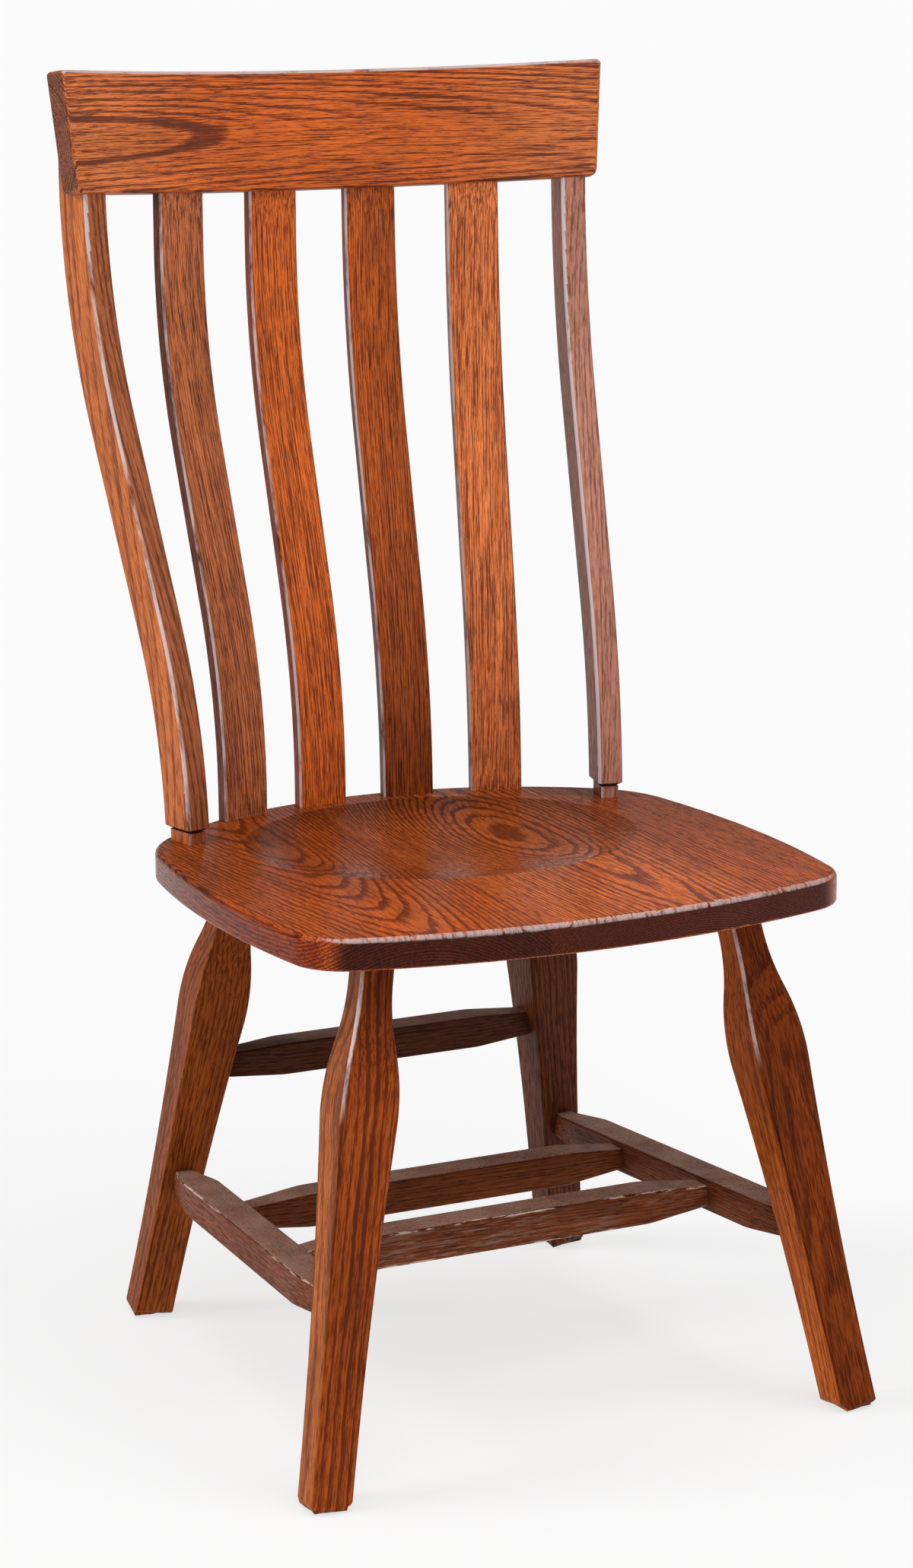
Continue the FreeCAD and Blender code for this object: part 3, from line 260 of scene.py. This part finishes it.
def grain_place(tree, wood):
    """Across, depth and along, in metres, with a bent board's bend taken out, and the same as a vector."""
    turn = Matrix((wood.across, wood.depth, wood.along))
    mapping = tree.node("ShaderNodeMapping", vector_type="POINT")
    tree.put(mapping.inputs["Vector"], tree.object_place())
    mapping.inputs["Rotation"].default_value = turn.to_euler("XYZ")
    mapping.inputs["Location"].default_value = -(turn @ wood.origin)
    across, depth, along = tree.parts(mapping.outputs[0])
    if any(wood.look["bend"]):
        bow, *terms = wood.look["bend"]
        for term in terms:
            bow = tree.math("MULTIPLY_ADD", along, bow, term)
        depth = tree.minus(depth, bow)
    return across, depth, along, tree.vector(across, depth, along)


# Kinds of noise in the wood: scales across, deep and along, in cycles per metre, then detail and roughness
HEART_DRIFT = ((9.0, 9.0, 3.2), 2.0, 0.5)
RING_RIPPLES = ((55.0, 55.0, 14.0), 3.0, 0.6)
PORE_STROKES = ((680.0, 680.0, 70.0), 2.0, 0.65)
FINE_STREAKS = ((480.0, 480.0, 11.0), 3.0, 0.65)
SLOW_PATCHES = ((22.0, 22.0, 5.5), 3.0, 0.55)
CROSS_RIPPLES = ((26.0, 26.0, 75.0), 2.0, 0.6)
RUBBED_SPOTS = ((60.0, 60.0, 22.0), 3.0, 0.6)
SCRATCHES = ((500.0, 500.0, 45.0), 3.0, 0.7)
WORN_CLUMPS = ((20.0, 20.0, 14.0), 2.0, 0.5)
# The mean of a noise, and the range that most of its values are in
NOISE_MEAN = 0.5
NOISE_RANGE = (0.3, 0.7)


def log_place(tree, look, across, depth, along, place):
    """Distance from the log's heart and the way round it, with the heart's slow wandering."""
    drift = tree.minus(tree.stretched(place, look["seed"], HEART_DRIFT), NOISE_MEAN)
    ripple = tree.minus(tree.stretched(place, look["seed"], RING_RIPPLES), NOISE_MEAN)
    heart = tree.add(
        depth, look["pith_depth"], tree.times(along, look["tilt"]), tree.times(drift, look["waver"]))
    side = tree.add(across, look["pith_across"])
    radius = tree.math("SQRT", tree.add(tree.times(heart, heart), tree.times(side, side)))
    radius = tree.math("MULTIPLY_ADD", ripple, look["ripple"], radius)
    return radius, tree.times(tree.math("ARCTAN2", side, heart), radius)


# How uneven the year rings' distances are
RING_DRIFT_SCALE, RING_DRIFT = 75.0, 2.2
# Where in a ring its open early wood ends, and where that of the next ring comes
EARLY_END, LATE_END = 0.45, 0.9
# How many rings share one strength, the noise that it comes from, and the least strength
FORCE_RINGS, FORCE_SCALE, FORCE_SLICE = 1.6, 500.0, 4.0
WEAKEST_RING = 0.45


def year_rings(tree, look, radius):
    """How much open early wood a place has, from 0 to 1."""
    distance, seed = look["ring"], look["seed"]
    slow = tree.noise(tree.vector(radius, seed, 0.0), RING_DRIFT_SCALE, 1.0)
    uneven = tree.math("MULTIPLY_ADD", slow, distance * RING_DRIFT, radius)
    ring = tree.math("FRACT", tree.math("DIVIDE", uneven, distance))
    early = tree.larger(tree.ease(ring, 0.0, EARLY_END, 1.0, 0.0), tree.ease(ring, LATE_END, 1.0))
    together = tree.math("SNAP", radius, distance * FORCE_RINGS)
    force = tree.noise(tree.vector(together, seed, FORCE_SLICE), FORCE_SCALE, 0.0)
    return tree.times(early, tree.span(force, *NOISE_RANGE, WEAKEST_RING, 1.0))


# One strong ring: how dark it is, and the share of its width that is darkest
STRONG_RING, STRONG_CORE = 0.85, 0.3


def one_strong_ring(tree, look, across, radius, band):
    """One dark ring, which the face cuts to a pointed arch, with calmer wood along the heart line."""
    ring, width, near, far, least = look["figure"]
    away = tree.unsigned(tree.minus(radius, ring))
    core = tree.ease(away, width * STRONG_CORE, width, STRONG_RING, 0.0)
    side = tree.unsigned(tree.add(across, look["pith_across"]))
    return tree.larger(core, tree.times(band, tree.ease(side, near, far, least, 1.0)))


# The noise from which pores, streaks and rays begin, and at which they are full
PORES_FROM, PORES_FULL = 0.43, 0.62
STREAKS_FROM, STREAKS_FULL = 0.34, 0.66
RAYS_FROM, RAYS_FULL = 0.55, 0.75
# How much more a sparse look takes from the streaks than from the pores
SPARSE_STREAKS = 2
# Scales of the rays outwards from the heart, round it and along it, in cycles per metre
RAY_OUTWARDS, RAY_ROUND, RAY_ALONG = 120.0, 650.0, 75.0


def finer(kind, grain):
    (across, deep, along), detail, roughness = kind
    return (across * grain, deep * grain, along), detail, roughness


def fine_grain(tree, look, place, radius, round_way, along):
    """Pores, streaks and rays, each from 0 to 1."""
    seed, grain, sparse = look["seed"], look["grain"], look["sparse"]
    stroke = tree.ease(
        tree.stretched(place, seed, finer(PORE_STROKES, grain)), PORES_FROM + sparse, PORES_FULL)
    streak = tree.ease(
        tree.stretched(place, seed, finer(FINE_STREAKS, grain)),
        STREAKS_FROM + sparse * SPARSE_STREAKS, STREAKS_FULL)
    ray_place = tree.vector(
        tree.times(radius, RAY_OUTWARDS), tree.times(round_way, RAY_ROUND), tree.times(along, RAY_ALONG))
    return stroke, streak, tree.ease(tree.noise(ray_place, 1.0, 1.0), RAYS_FROM, RAYS_FULL)


# Darkness of plain wood without grain, and where on the way to the darkest grain its three colours stand
PLAIN_SHADE = 0.22
PALE_STOP, BASE_STOP, DARK_STOP = 0.12, 0.5, 1.0
# What is left of a ring between two streaks
RING_BETWEEN_STREAKS = 0.5
# The patches' range of noise, and how much a slow change brightens for what it darkens
PATCH_RANGE = (0.28, 0.72)
LIFT = 0.6
# What a piece's seed is changed by, so that no two of its noises run together
RIPPLE_SEED, SCRATCH_SEED, GLINT_SEED, CLUMP_SEED = 3, 5, 7, 9
PATCH_SEED_FACTOR = 2


def slow_light(tree, look, place, along):
    """Patches, ripples and a fade, as one brightness; the fade is painted light and shade."""
    seed, patches, ripples = look["seed"], look["patches"], look["ripples"]
    patch = tree.stretched(place, seed * PATCH_SEED_FACTOR, SLOW_PATCHES)
    bright = tree.span(patch, *PATCH_RANGE, 1 - patches, 1 + patches * LIFT)
    if ripples:
        wave = tree.stretched(place, seed + RIPPLE_SEED, CROSS_RIPPLES)
        bright = tree.times(bright, tree.span(wave, *NOISE_RANGE, 1 - ripples, 1 + ripples * LIFT))
    # A fade along the piece: painted light and shade
    if look["fade"]:
        bright = tree.times(bright, tree.ease(along, *look["fade"]))
    return bright


def wood_colour(tree, look, place, radius, round_way, across, along):
    """The oak's colour on any cut face, and where its pores and streaks are."""
    band = year_rings(tree, look, radius)
    if look["figure"]:
        band = one_strong_ring(tree, look, across, radius, band)
    stroke, streak, ray = fine_grain(tree, look, place, radius, round_way, along)
    band = tree.times(band, tree.span(streak, 0.0, 1.0, RING_BETWEEN_STREAKS, 1.0), look["bands"])
    shade = tree.add(
        PLAIN_SHADE, band, tree.times(stroke, look["pores"]), tree.times(streak, look["streaks"]),
        tree.times(ray, look["rays"]))
    base = linear(*look["colour"])
    pale, dark = (
        tuple(entry * share for entry, share in zip(base, look[name])) for name in ("pale", "dark"))
    colour = tree.ramp(shade, ((PALE_STOP, pale), (BASE_STOP, base), (DARK_STOP, dark)))
    bright = slow_light(tree, look, place, along)
    colour = tree.tint(1.0, colour, tree.vector(bright, bright, bright))
    if look["blush"]:
        near, far, factors = look["blush"]
        colour = tree.tint(tree.ease(tree.unsigned(along), near, far), colour, factors)
    return colour, stroke, streak


# The way that the faces in the photograph are turned, whose own colours carry painted light and shade, and
# the stain of the faces that it doesn't show
SHOWN = (-0.45, -0.85, 0.27)
SHOWN_FROM, SHOWN_FULL = -0.2, 0.1
COMMON_STAIN = (156, 78, 36)

# Narrow sides, by how far a face is turned sideways; their factors are partly painted light and shade
SIDE_FROM, SIDE_FULL = 0.6, 0.85
# Arrises along the grain, by how flat a place is: 0 halfway between two faces, 1 on a face
ARRIS_FULL, ARRIS_END = 0.35, 0.92
SMALLEST = 0.001
# Arrises round the ends, and the end grain, by how far a face is turned endways
CORNER_FROM, CORNER_FULL, CORNER_LESS, CORNER_END = 0.45, 0.62, 0.85, 0.97
END_FROM, END_FULL = 0.72, 0.93
# What a dark arris makes of the colour, and the noise that leaves parts of it out
ARRIS_STAIN = (0.3, 0.24, 0.28)
RUBBED_RANGE = (0.3, 0.65)

# Painted shade on the seat's hollow: its slope by how upright the face is, most where it is turned from the
# light
SLOPE_FROM, SLOPE_FULL, SLOPE_LESS, SLOPE_END = 0.95, 0.986, 0.99, 0.999
SLOPE_TOWARDS = (0.55, -0.83, 0.0)
SLOPE_LIT, SLOPE_UNLIT, SLOPE_LIT_SHARE = -0.14, 0.1, 0.6
SLOPE_PAINTED_SHADE = (0.4, 0.4, 0.4)


def hollow_painted_shade(tree, normal, strength):
    """Painted shade where a face slopes as the sides of a shallow hollow do."""
    upright = tree.dot(normal, WORLD_Z)
    return tree.times(
        tree.ease(upright, SLOPE_FROM, SLOPE_FULL), tree.ease(upright, SLOPE_LESS, SLOPE_END, 1.0, 0.0),
        tree.span(tree.dot(normal, SLOPE_TOWARDS), SLOPE_LIT, SLOPE_UNLIT, SLOPE_LIT_SHARE, 1.0), strength)


# Wear: the noise of scratches and of their clumps, how it fades from arris to flat face, and its colour
SCRATCH_RANGE, CLUMP_RANGE = (0.5, 0.62), (0.36, 0.54)
WEAR_FROM, FLAT_WEAR = 0.5, 0.06
WORN_COLOUR = (206, 184, 168)
# Painted glints, highlights put into the colour: how far an arris is turned their way, how they begin along
# a piece and in the noise of their dashes
GLINT_FROM, GLINT_FULL = 0.8, 0.92
GLINT_RISE, GLINT_EDGE = 0.03, 0.16
GLINT_DETAIL, GLINT_ROUGHNESS = 4.0, 0.7
PAINTED_GLINT_COLOUR = (222, 206, 204)
# Dust, partly a painted sheen: how far a face looks up, and scale, detail and roughness of its specks and of
# its clouds
DUST_AND_SHEEN_FROM, DUST_AND_SHEEN_FULL = 0.7, 0.98
DUST_AND_SHEEN_SPECKS, DUST_AND_SHEEN_CLOUDS = (900.0, 3.0, 0.7), (28.0, 3.0, 0.6)
CLOUD_RANGE, CLEAREST = (0.25, 0.7), 0.3
DUST_AND_SHEEN_COLOUR = (168, 134, 118)


def wear_share(tree, look, place, flat):
    """Scratches in clumps, most on the arrises."""
    seed = look["seed"]
    scratch = tree.span(tree.stretched(place, seed + SCRATCH_SEED, SCRATCHES), *SCRATCH_RANGE)
    clump = tree.span(tree.stretched(place, seed + CLUMP_SEED, WORN_CLUMPS), *CLUMP_RANGE)
    return tree.times(scratch, clump, tree.span(flat, WEAR_FROM, 1.0, 1.0, FLAT_WEAR), look["wear"])


def painted_glint_share(tree, wood, place, along, normal):
    """A painted highlight: a dashed line on the arrises that are turned the look's way."""
    strength, towards, dashes, lowest, gaps = wood.look["painted_glints"]
    towards = wood.across * towards[0] + wood.depth * towards[1] + wood.along * towards[2]
    line = tree.times(
        tree.ease(tree.dot(normal, towards.normalized()), GLINT_FROM, GLINT_FULL),
        tree.ease(along, lowest, lowest + GLINT_RISE))
    wave = tree.stretched(
        place, wood.look["seed"] + GLINT_SEED, (dashes, GLINT_DETAIL, GLINT_ROUGHNESS))
    return tree.times(line, tree.span(wave, gaps, gaps + GLINT_EDGE), strength)


def dust_and_sheen_share(tree, place, normal, strength):
    """Specks in clouds on faces that look up: dust, and partly a painted sheen."""
    upward = tree.ease(tree.dot(normal, WORLD_Z), DUST_AND_SHEEN_FROM, DUST_AND_SHEEN_FULL)
    specks = tree.span(tree.noise(place, *DUST_AND_SHEEN_SPECKS), *NOISE_RANGE)
    clouds = tree.span(tree.noise(place, *DUST_AND_SHEEN_CLOUDS), *CLOUD_RANGE, CLEAREST, 1.0)
    return tree.times(upward, specks, clouds, strength)


def worn_colour(tree, wood, place, along, colour):
    """Darker or lighter sides, partly painted light and shade, dark arrises and end grain, painted shade on
    a hollow's slope, and rubbed spots, wear, painted glints and dust, partly a painted sheen, on top.
    """
    look = wood.look
    normal = tree.node("ShaderNodeNewGeometry").outputs["Normal"]
    sideways = tree.dot(normal, wood.across)
    inwards = tree.dot(normal, wood.depth)
    endways = tree.unsigned(tree.dot(normal, wood.along))

    # Faces turned the shown way keep each piece's own colour, which carries painted light and shade; the
    # rest get one common stain
    shown = tree.ease(tree.dot(normal, SHOWN), SHOWN_FROM, SHOWN_FULL)
    to_common = tuple(common / own for common, own in zip(linear(*COMMON_STAIN), linear(*look["colour"])))
    colour = tree.tint(tree.minus(1.0, shown), colour, to_common)
    # The narrow sides' factors: partly painted light and shade, lighter or darker as the light fell on them
    if look["sides"] != OAK["sides"]:
        side = tree.ease(tree.unsigned(sideways), SIDE_FROM, SIDE_FULL)
        colour = tree.tint(tree.times(side, shown), colour, look["sides"])
    # Painted shade on the slopes of the seat's hollow
    if look["hollow"]:
        colour = tree.tint(hollow_painted_shade(tree, normal, look["hollow"]), colour, SLOPE_PAINTED_SHADE)

    side_part = tree.times(sideways, sideways)
    depth_part = tree.times(inwards, inwards)
    flat = tree.math(
        "DIVIDE", tree.unsigned(tree.minus(side_part, depth_part)),
        tree.larger(tree.add(side_part, depth_part), SMALLEST))
    arris = tree.larger(
        tree.ease(flat, ARRIS_FULL, ARRIS_END, 1.0, 0.0),
        tree.times(
            tree.ease(endways, CORNER_FROM, CORNER_FULL),
            tree.ease(endways, CORNER_LESS, CORNER_END, 1.0, 0.0)))
    rubbed = tree.span(tree.stretched(place, look["seed"], RUBBED_SPOTS), *RUBBED_RANGE)
    colour = tree.tint(tree.times(arris, rubbed, look["arris"]), colour, ARRIS_STAIN)
    colour = tree.tint(tree.ease(endways, END_FROM, END_FULL), colour, look["ends"])

    if look["wear"]:
        colour = tree.cover(wear_share(tree, look, place, flat), colour, linear(*WORN_COLOUR))
    # Painted highlights: pale dashes on the arrises that face one way
    if look["painted_glints"]:
        colour = tree.cover(painted_glint_share(tree, wood, place, along, normal), colour, linear(*PAINTED_GLINT_COLOUR))
    # Dust on faces that look up, partly a painted sheen
    if look["dust_and_sheen"]:
        colour = tree.cover(dust_and_sheen_share(tree, place, normal, look["dust_and_sheen"]), colour, linear(*DUST_AND_SHEEN_COLOUR))
    return colour


# How much rougher open pores are, and how far pores and streaks lie below the face
PORE_ROUGHNESS = 0.15
PORE_DEPTH, STREAK_DEPTH = -0.7, -0.4
# The fittings' grain: scale and detail, how dark it goes and how much its roughness changes
PLAIN_GRAIN = (1400.0, 3.0)
PLAIN_DARK, PLAIN_ROUGHNESS = 0.75, 0.08
# Reliefs: strength, and distance in metres
WOOD_RELIEF = (0.25, 0.0006)
PLAIN_RELIEF = (0.15, 0.0002)


def wood_material(name, wood):
    look = wood.look
    made, tree = new_material(name)
    across, depth, along, place = grain_place(tree, wood)
    radius, round_way = log_place(tree, look, across, depth, along, place)
    colour, stroke, streak = wood_colour(tree, look, place, radius, round_way, across, along)
    tree.shade(
        worn_colour(tree, wood, place, along, colour),
        tree.span(stroke, 0.0, 1.0, look["rough"], look["rough"] + PORE_ROUGHNESS),
        {"Specular IOR Level": look["gloss"]},
        tree.add(tree.times(stroke, PORE_DEPTH), tree.times(streak, STREAK_DEPTH)), WOOD_RELIEF)
    return made


def plain_material(name, colour, rough, metal):
    """A fine-grained material for the small fittings."""
    made, tree = new_material(name)
    grain = tree.noise(tree.object_place(), *PLAIN_GRAIN)
    dark = tuple(entry * PLAIN_DARK for entry in colour)
    tree.shade(
        tree.cover(tree.span(grain, *NOISE_RANGE), dark, colour),
        tree.span(grain, *NOISE_RANGE, rough - PLAIN_ROUGHNESS, rough + PLAIN_ROUGHNESS),
        {"Metallic": metal}, grain, PLAIN_RELIEF)
    return made


# Dressing the pieces
def dress(node, material):
    piece = cad[node]
    if not piece.material_slots:
        piece.data.materials.append(material)
    for entry in piece.material_slots:
        entry.link = "OBJECT"
        entry.material = material


def dress_wood(node, wood):
    dress(node, wood_material("wood_" + node, wood))


def vertices(node):
    mesh = cad[node].data
    places = np.zeros(len(mesh.vertices) * 3, np.float32)
    mesh.vertices.foreach_get("co", places)
    return places.reshape(-1, 3)


def middle_of(places):
    return (places.max(axis=0) + places.min(axis=0)) / 2


def long_axis(node):
    """A stick's middle and the direction of its length, upwards, backwards or to the right."""
    places = vertices(node)
    spread = np.linalg.svd(places - places.mean(axis=0), full_matrices=False)[2][0]
    return Vector(middle_of(places)), Vector(spread * np.sign(spread[np.argmax(np.abs(spread))]))


def follow_bend(wood, places):
    """Fits a cubic to a bent board, so that its grain follows it."""
    local = (places - np.array(wood.origin)) @ np.array([wood.across, wood.depth, wood.along]).T
    wood.look["bend"] = tuple(float(entry) for entry in np.polyfit(local[:, 2], local[:, 1], 3))


# Where the front legs' painted glint begins, in metres above the leg's middle
GLINT_LOWEST = 0.07
# The least part of X in the direction of a stick that lies along X
LIES_ALONG_X = 0.7


def dress_sticks():
    """Legs and stretchers: straight sticks."""
    leg = dict(
        ring=0.0045, bands=0.75, streaks=0.38, pores=0.42, rays=0.2, arris=0.8, waver=0.02, gloss=0.06,
        grain=1.2)
    # The bars' tops get dust that is partly a painted sheen
    bar = dict(ring=0.003, dust_and_sheen=1.7, arris=0.65, patches=0.35, bands=0.65, gloss=0.06, grain=1.2)
    looks = {
        # The front left leg's fade is painted shade, darker towards the seat
        "leg_front_left": dict(
            leg, colour=(157, 72, 25), seed=3.1, pith_across=0.09, pith_depth=0.03, tilt=0.03, ring=0.0068,
            bands=1.05, ripple=0.006, sides=(1.25, 1.6, 1.6), fade=(0.07, 0.17, 1.05, 0.72),
            painted_glints=glint(0.9, lowest=GLINT_LOWEST)),
        "leg_front_right": dict(
            leg, colour=(121, 52, 12), seed=8.7, pith_across=-0.01, tilt=0.08, bands=0.6, ring=0.006,
            ripple=0.005, sides=(2.4, 2.7, 1.0), painted_glints=glint(0.7, lowest=GLINT_LOWEST)),
        "leg_rear_left": dict(
            leg, colour=(149, 74, 24), seed=14.2, pith_across=0.12, pith_depth=0.06, bands=0.6),
        # The rear right leg's dark colour is painted shade, on its shown faces
        "leg_rear_right": dict(leg, colour=(98, 50, 26), seed=21.9, pith_across=0.03, pith_depth=0.05),
        "stretcher_left": dict(bar, colour=(116, 58, 28), seed=31.0, wear=1.2),
        "stretcher_right": dict(bar, colour=(106, 54, 30), seed=37.0),
        "stretcher_front_cross": dict(bar, colour=(116, 60, 32), seed=41.0, wear=2.8),
        "stretcher_rear_cross": dict(bar, colour=(107, 55, 25), seed=47.0),
        "stretcher_back": dict(bar, colour=(84, 46, 28), seed=53.0, dust_and_sheen=0.9),
    }
    for node, look in looks.items():
        middle, along = long_axis(node)
        across = WORLD_X if abs(along.x) < LIES_ALONG_X else WORLD_Y
        dress_wood(node, Wood(along, across, middle, **look))


def dress_back():
    """Posts, slats and the crest rail: bent boards, whose grain follows the bend."""
    slat = dict(
        dark=(0.28, 0.22, 0.3), pith_across=0.26, pith_depth=0.05, waver=0.01, ring=0.0026, ripple=0.001,
        bands=0.45, pores=0.5, streaks=0.75, rays=0.1, grain=2.2, sparse=0.04, patches=0.2, ripples=0.08,
        sides=(0.34, 0.24, 0.24), arris=0.7, painted_glints=glint(0.8))
    post = dict(
        pith_across=0.1, pith_depth=0.05, ring=0.004, bands=0.55, patches=0.25, arris=0.5, painted_glints=glint(0.8))
    # Each slat and post with its turn about the vertical, in degrees
    looks = {
        "slat_1": (15.8, dict(slat, colour=(192, 108, 62), seed=61.0, patches=0.3)),
        "slat_2": (5.9, dict(slat, colour=(226, 109, 38), seed=67.0)),
        # The third slat's fade is painted light and shade, darker low and lighter high
        "slat_3": (-5.9, dict(
            slat, colour=(187, 88, 26), seed=71.0, patches=0.34, fade=(-0.25, 0.2, 0.72, 1.25))),
        "slat_4": (-15.8, dict(slat, colour=(235, 130, 70), seed=79.0)),
        "post_left": (13.0, dict(
            post, colour=(163, 90, 51), seed=83.0, bands=0.9, ring=0.006, sides=(1.56, 1.42, 0.88))),
        # The right post's pale pinkish colour is partly a painted sheen
        "post_right": (-13.0, dict(
            post, colour=(192, 130, 108), seed=89.0, sides=(0.48, 0.26, 0.12),
            painted_glints=glint(1.0, dashes=(90.0, 90.0, 20.0), gaps=0.2))),
    }
    for node, (turn, look) in looks.items():
        places = vertices(node)
        slope = np.polyfit(places[:, 2], places[:, 0], 1)[0]
        across = (math.cos(math.radians(turn)), math.sin(math.radians(turn)), 0)
        wood = Wood((slope, 0, 1), across, middle_of(places), **look)
        follow_bend(wood, places)
        dress_wood(node, wood)
    places = vertices("crest_rail")
    # The crest's palest grain is bluer than plain oak's, partly a painted sheen
    wood = Wood(
        WORLD_X, WORLD_Z, middle_of(places), colour=(211, 98, 34), dark=(0.24, 0.22, 0.4),
        pale=(1.28, 1.4, 1.5), seed=97.0, pith_across=0.011, pith_depth=0.055, tilt=0.03, waver=0.002,
        ring=0.0026, ripple=0.0013, bands=1.5, figure=(0.0635, 0.001, 0.014, 0.028, 0.3), streaks=0.6,
        pores=0.5, grain=1.9, sparse=0.05, patches=0.18, blush=(0.08, 0.23, (1.03, 1.4, 2.8)), arris=0.95,
        ends=(0.42, 0.5, 0.8), painted_glints=glint(0.7, (1, 1, 0), (60.0, 60.0, 30.0), gaps=0.3))
    follow_bend(wood, places)
    dress_wood("crest_rail", wood)
    dress_wood("screw_plugs", wood)


# Height of the middle of the seat's thickness
SEAT_MIDDLE = 0.444


def dress_seat():
    """The three boards of the seat. Their hearts lie under the seat, so the hollow cuts rings open."""
    # The seat's fade is painted light and shade, lighter at the front and darker towards the back
    plank = dict(
        dark=(0.3, 0.24, 0.3), waver=0.006, bands=1.5, streaks=0.36, pores=0.44, rays=0.08, grain=1.2,
        patches=0.2, fade=(-0.26, 0.02, 1.42, 0.84), sides=(0.6, 0.42, 0.35), arris=0.25,
        ends=(0.15, 0.12, 0.16), hollow=0.75, rough=0.17, gloss=0.12,
        painted_glints=glint(0.5, (0, -1, -1), (300.0, 60.0, 60.0)))
    # Each board with the place of its log's middle along X
    looks = {
        "seat_board_1": (-0.15, dict(
            plank, colour=(172, 79, 27), seed=101.0, pith_depth=-0.09, tilt=0.06, ring=0.0026)),
        "seat_board_2": (0.08, dict(
            plank, colour=(187, 92, 38), seed=107.0, pith_depth=-0.13, tilt=0.01, ring=0.002)),
        "seat_board_3": (0.2, dict(
            plank, colour=(174, 79, 25), seed=113.0, pith_across=0.10, pith_depth=-0.10, tilt=0.02,
            ring=0.0021)),
    }
    for node, (middle, look) in looks.items():
        dress_wood(node, Wood(WORLD_Y, WORLD_X, (middle, 0.0, SEAT_MIDDLE), **look))


# The floor: how far it reaches, in metres, its shade and its glow
FLOOR_REACH = 400.0
FLOOR_SHADE = (0.27, 0.27, 0.27, 1)
FLOOR_GLOW = 0.68
# The sky: its colour, and its brightness near the horizon and from a low height up
SKY_COLOUR = (1, 1, 1, 1)
SKY_LOW, SKY_HIGH = 0.02, 0.1
SKY_NEAR_HORIZON, SKY_ABOVE = 0.96, 0.15


def add_stage():
    """A wide pale floor that keeps the chair's shadow."""
    mesh = bpy.data.meshes.new("floor")
    corners = ((-1, -1), (1, -1), (1, 1), (-1, 1))
    mesh.from_pydata([(x * FLOOR_REACH, y * FLOOR_REACH, 0) for x, y in corners], [], [(0, 1, 2, 3)])
    floor = bpy.data.objects.new("floor", mesh)
    scene.collection.objects.link(floor)
    made, tree = new_material("floor")
    diffuse = tree.node("ShaderNodeBsdfDiffuse")
    diffuse.inputs["Color"].default_value = FLOOR_SHADE
    glow = tree.node("ShaderNodeEmission")
    glow.inputs["Strength"].default_value = FLOOR_GLOW
    both = tree.node("ShaderNodeAddShader")
    tree.put(both.inputs[0], diffuse.outputs[0])
    tree.put(both.inputs[1], glow.outputs[0])
    tree.put(tree.node("ShaderNodeOutputMaterial").inputs[0], both.outputs[0])
    mesh.materials.append(made)


def add_world():
    """A dim even sky, pale close to the horizon."""
    world = bpy.data.worlds.new("studio")
    scene.world = world
    world.use_nodes = True
    tree = Tree(world.node_tree)
    height = tree.parts(tree.node("ShaderNodeTexCoord").outputs["Generated"])[2]
    back = tree.node("ShaderNodeBackground")
    back.inputs["Color"].default_value = SKY_COLOUR
    tree.put(back.inputs["Strength"], tree.ease(height, SKY_LOW, SKY_HIGH, SKY_NEAR_HORIZON, SKY_ABOVE))
    tree.put(tree.node("ShaderNodeOutputWorld").inputs[0], back.outputs[0])


# Wide soft lamps: name, azimuth from the front towards the right, height and spread in degrees, strength
LAMPS = (
    ("key", -105, 32, 28, 1.6),
    ("top", 0, 80, 50, 1.1),
    ("front", -30, 45, 40, 0.4),
    ("fill", 35, 40, 45, 0.9),
)


def add_lamps():
    for name, azimuth, height, spread, strength in LAMPS:
        data = bpy.data.lights.new(name, "SUN")
        data.angle = math.radians(spread)
        data.energy = strength
        lamp = bpy.data.objects.new(name, data)
        turn, rise = math.radians(azimuth), math.radians(height)
        towards = Vector(
            (math.sin(turn) * math.cos(rise), -math.cos(turn) * math.cos(rise), math.sin(rise)))
        lamp.rotation_euler = towards.to_track_quat("Z", "Y").to_euler()
        scene.collection.objects.link(lamp)


# The fittings: colour, roughness and how metallic
STEEL = ((0.62, 0.61, 0.6), 0.35, 1.0)
PLASTIC = (linear(58, 52, 48), 0.5, 0.0)

add_camera()
add_stage()
add_world()
add_lamps()
dress_sticks()
dress_back()
dress_seat()
dress("crest_screws", plain_material("screw_steel", *STEEL))
dress("floor_glides", plain_material("glide_plastic", *PLASTIC))
scene.view_settings.view_transform = "Standard"
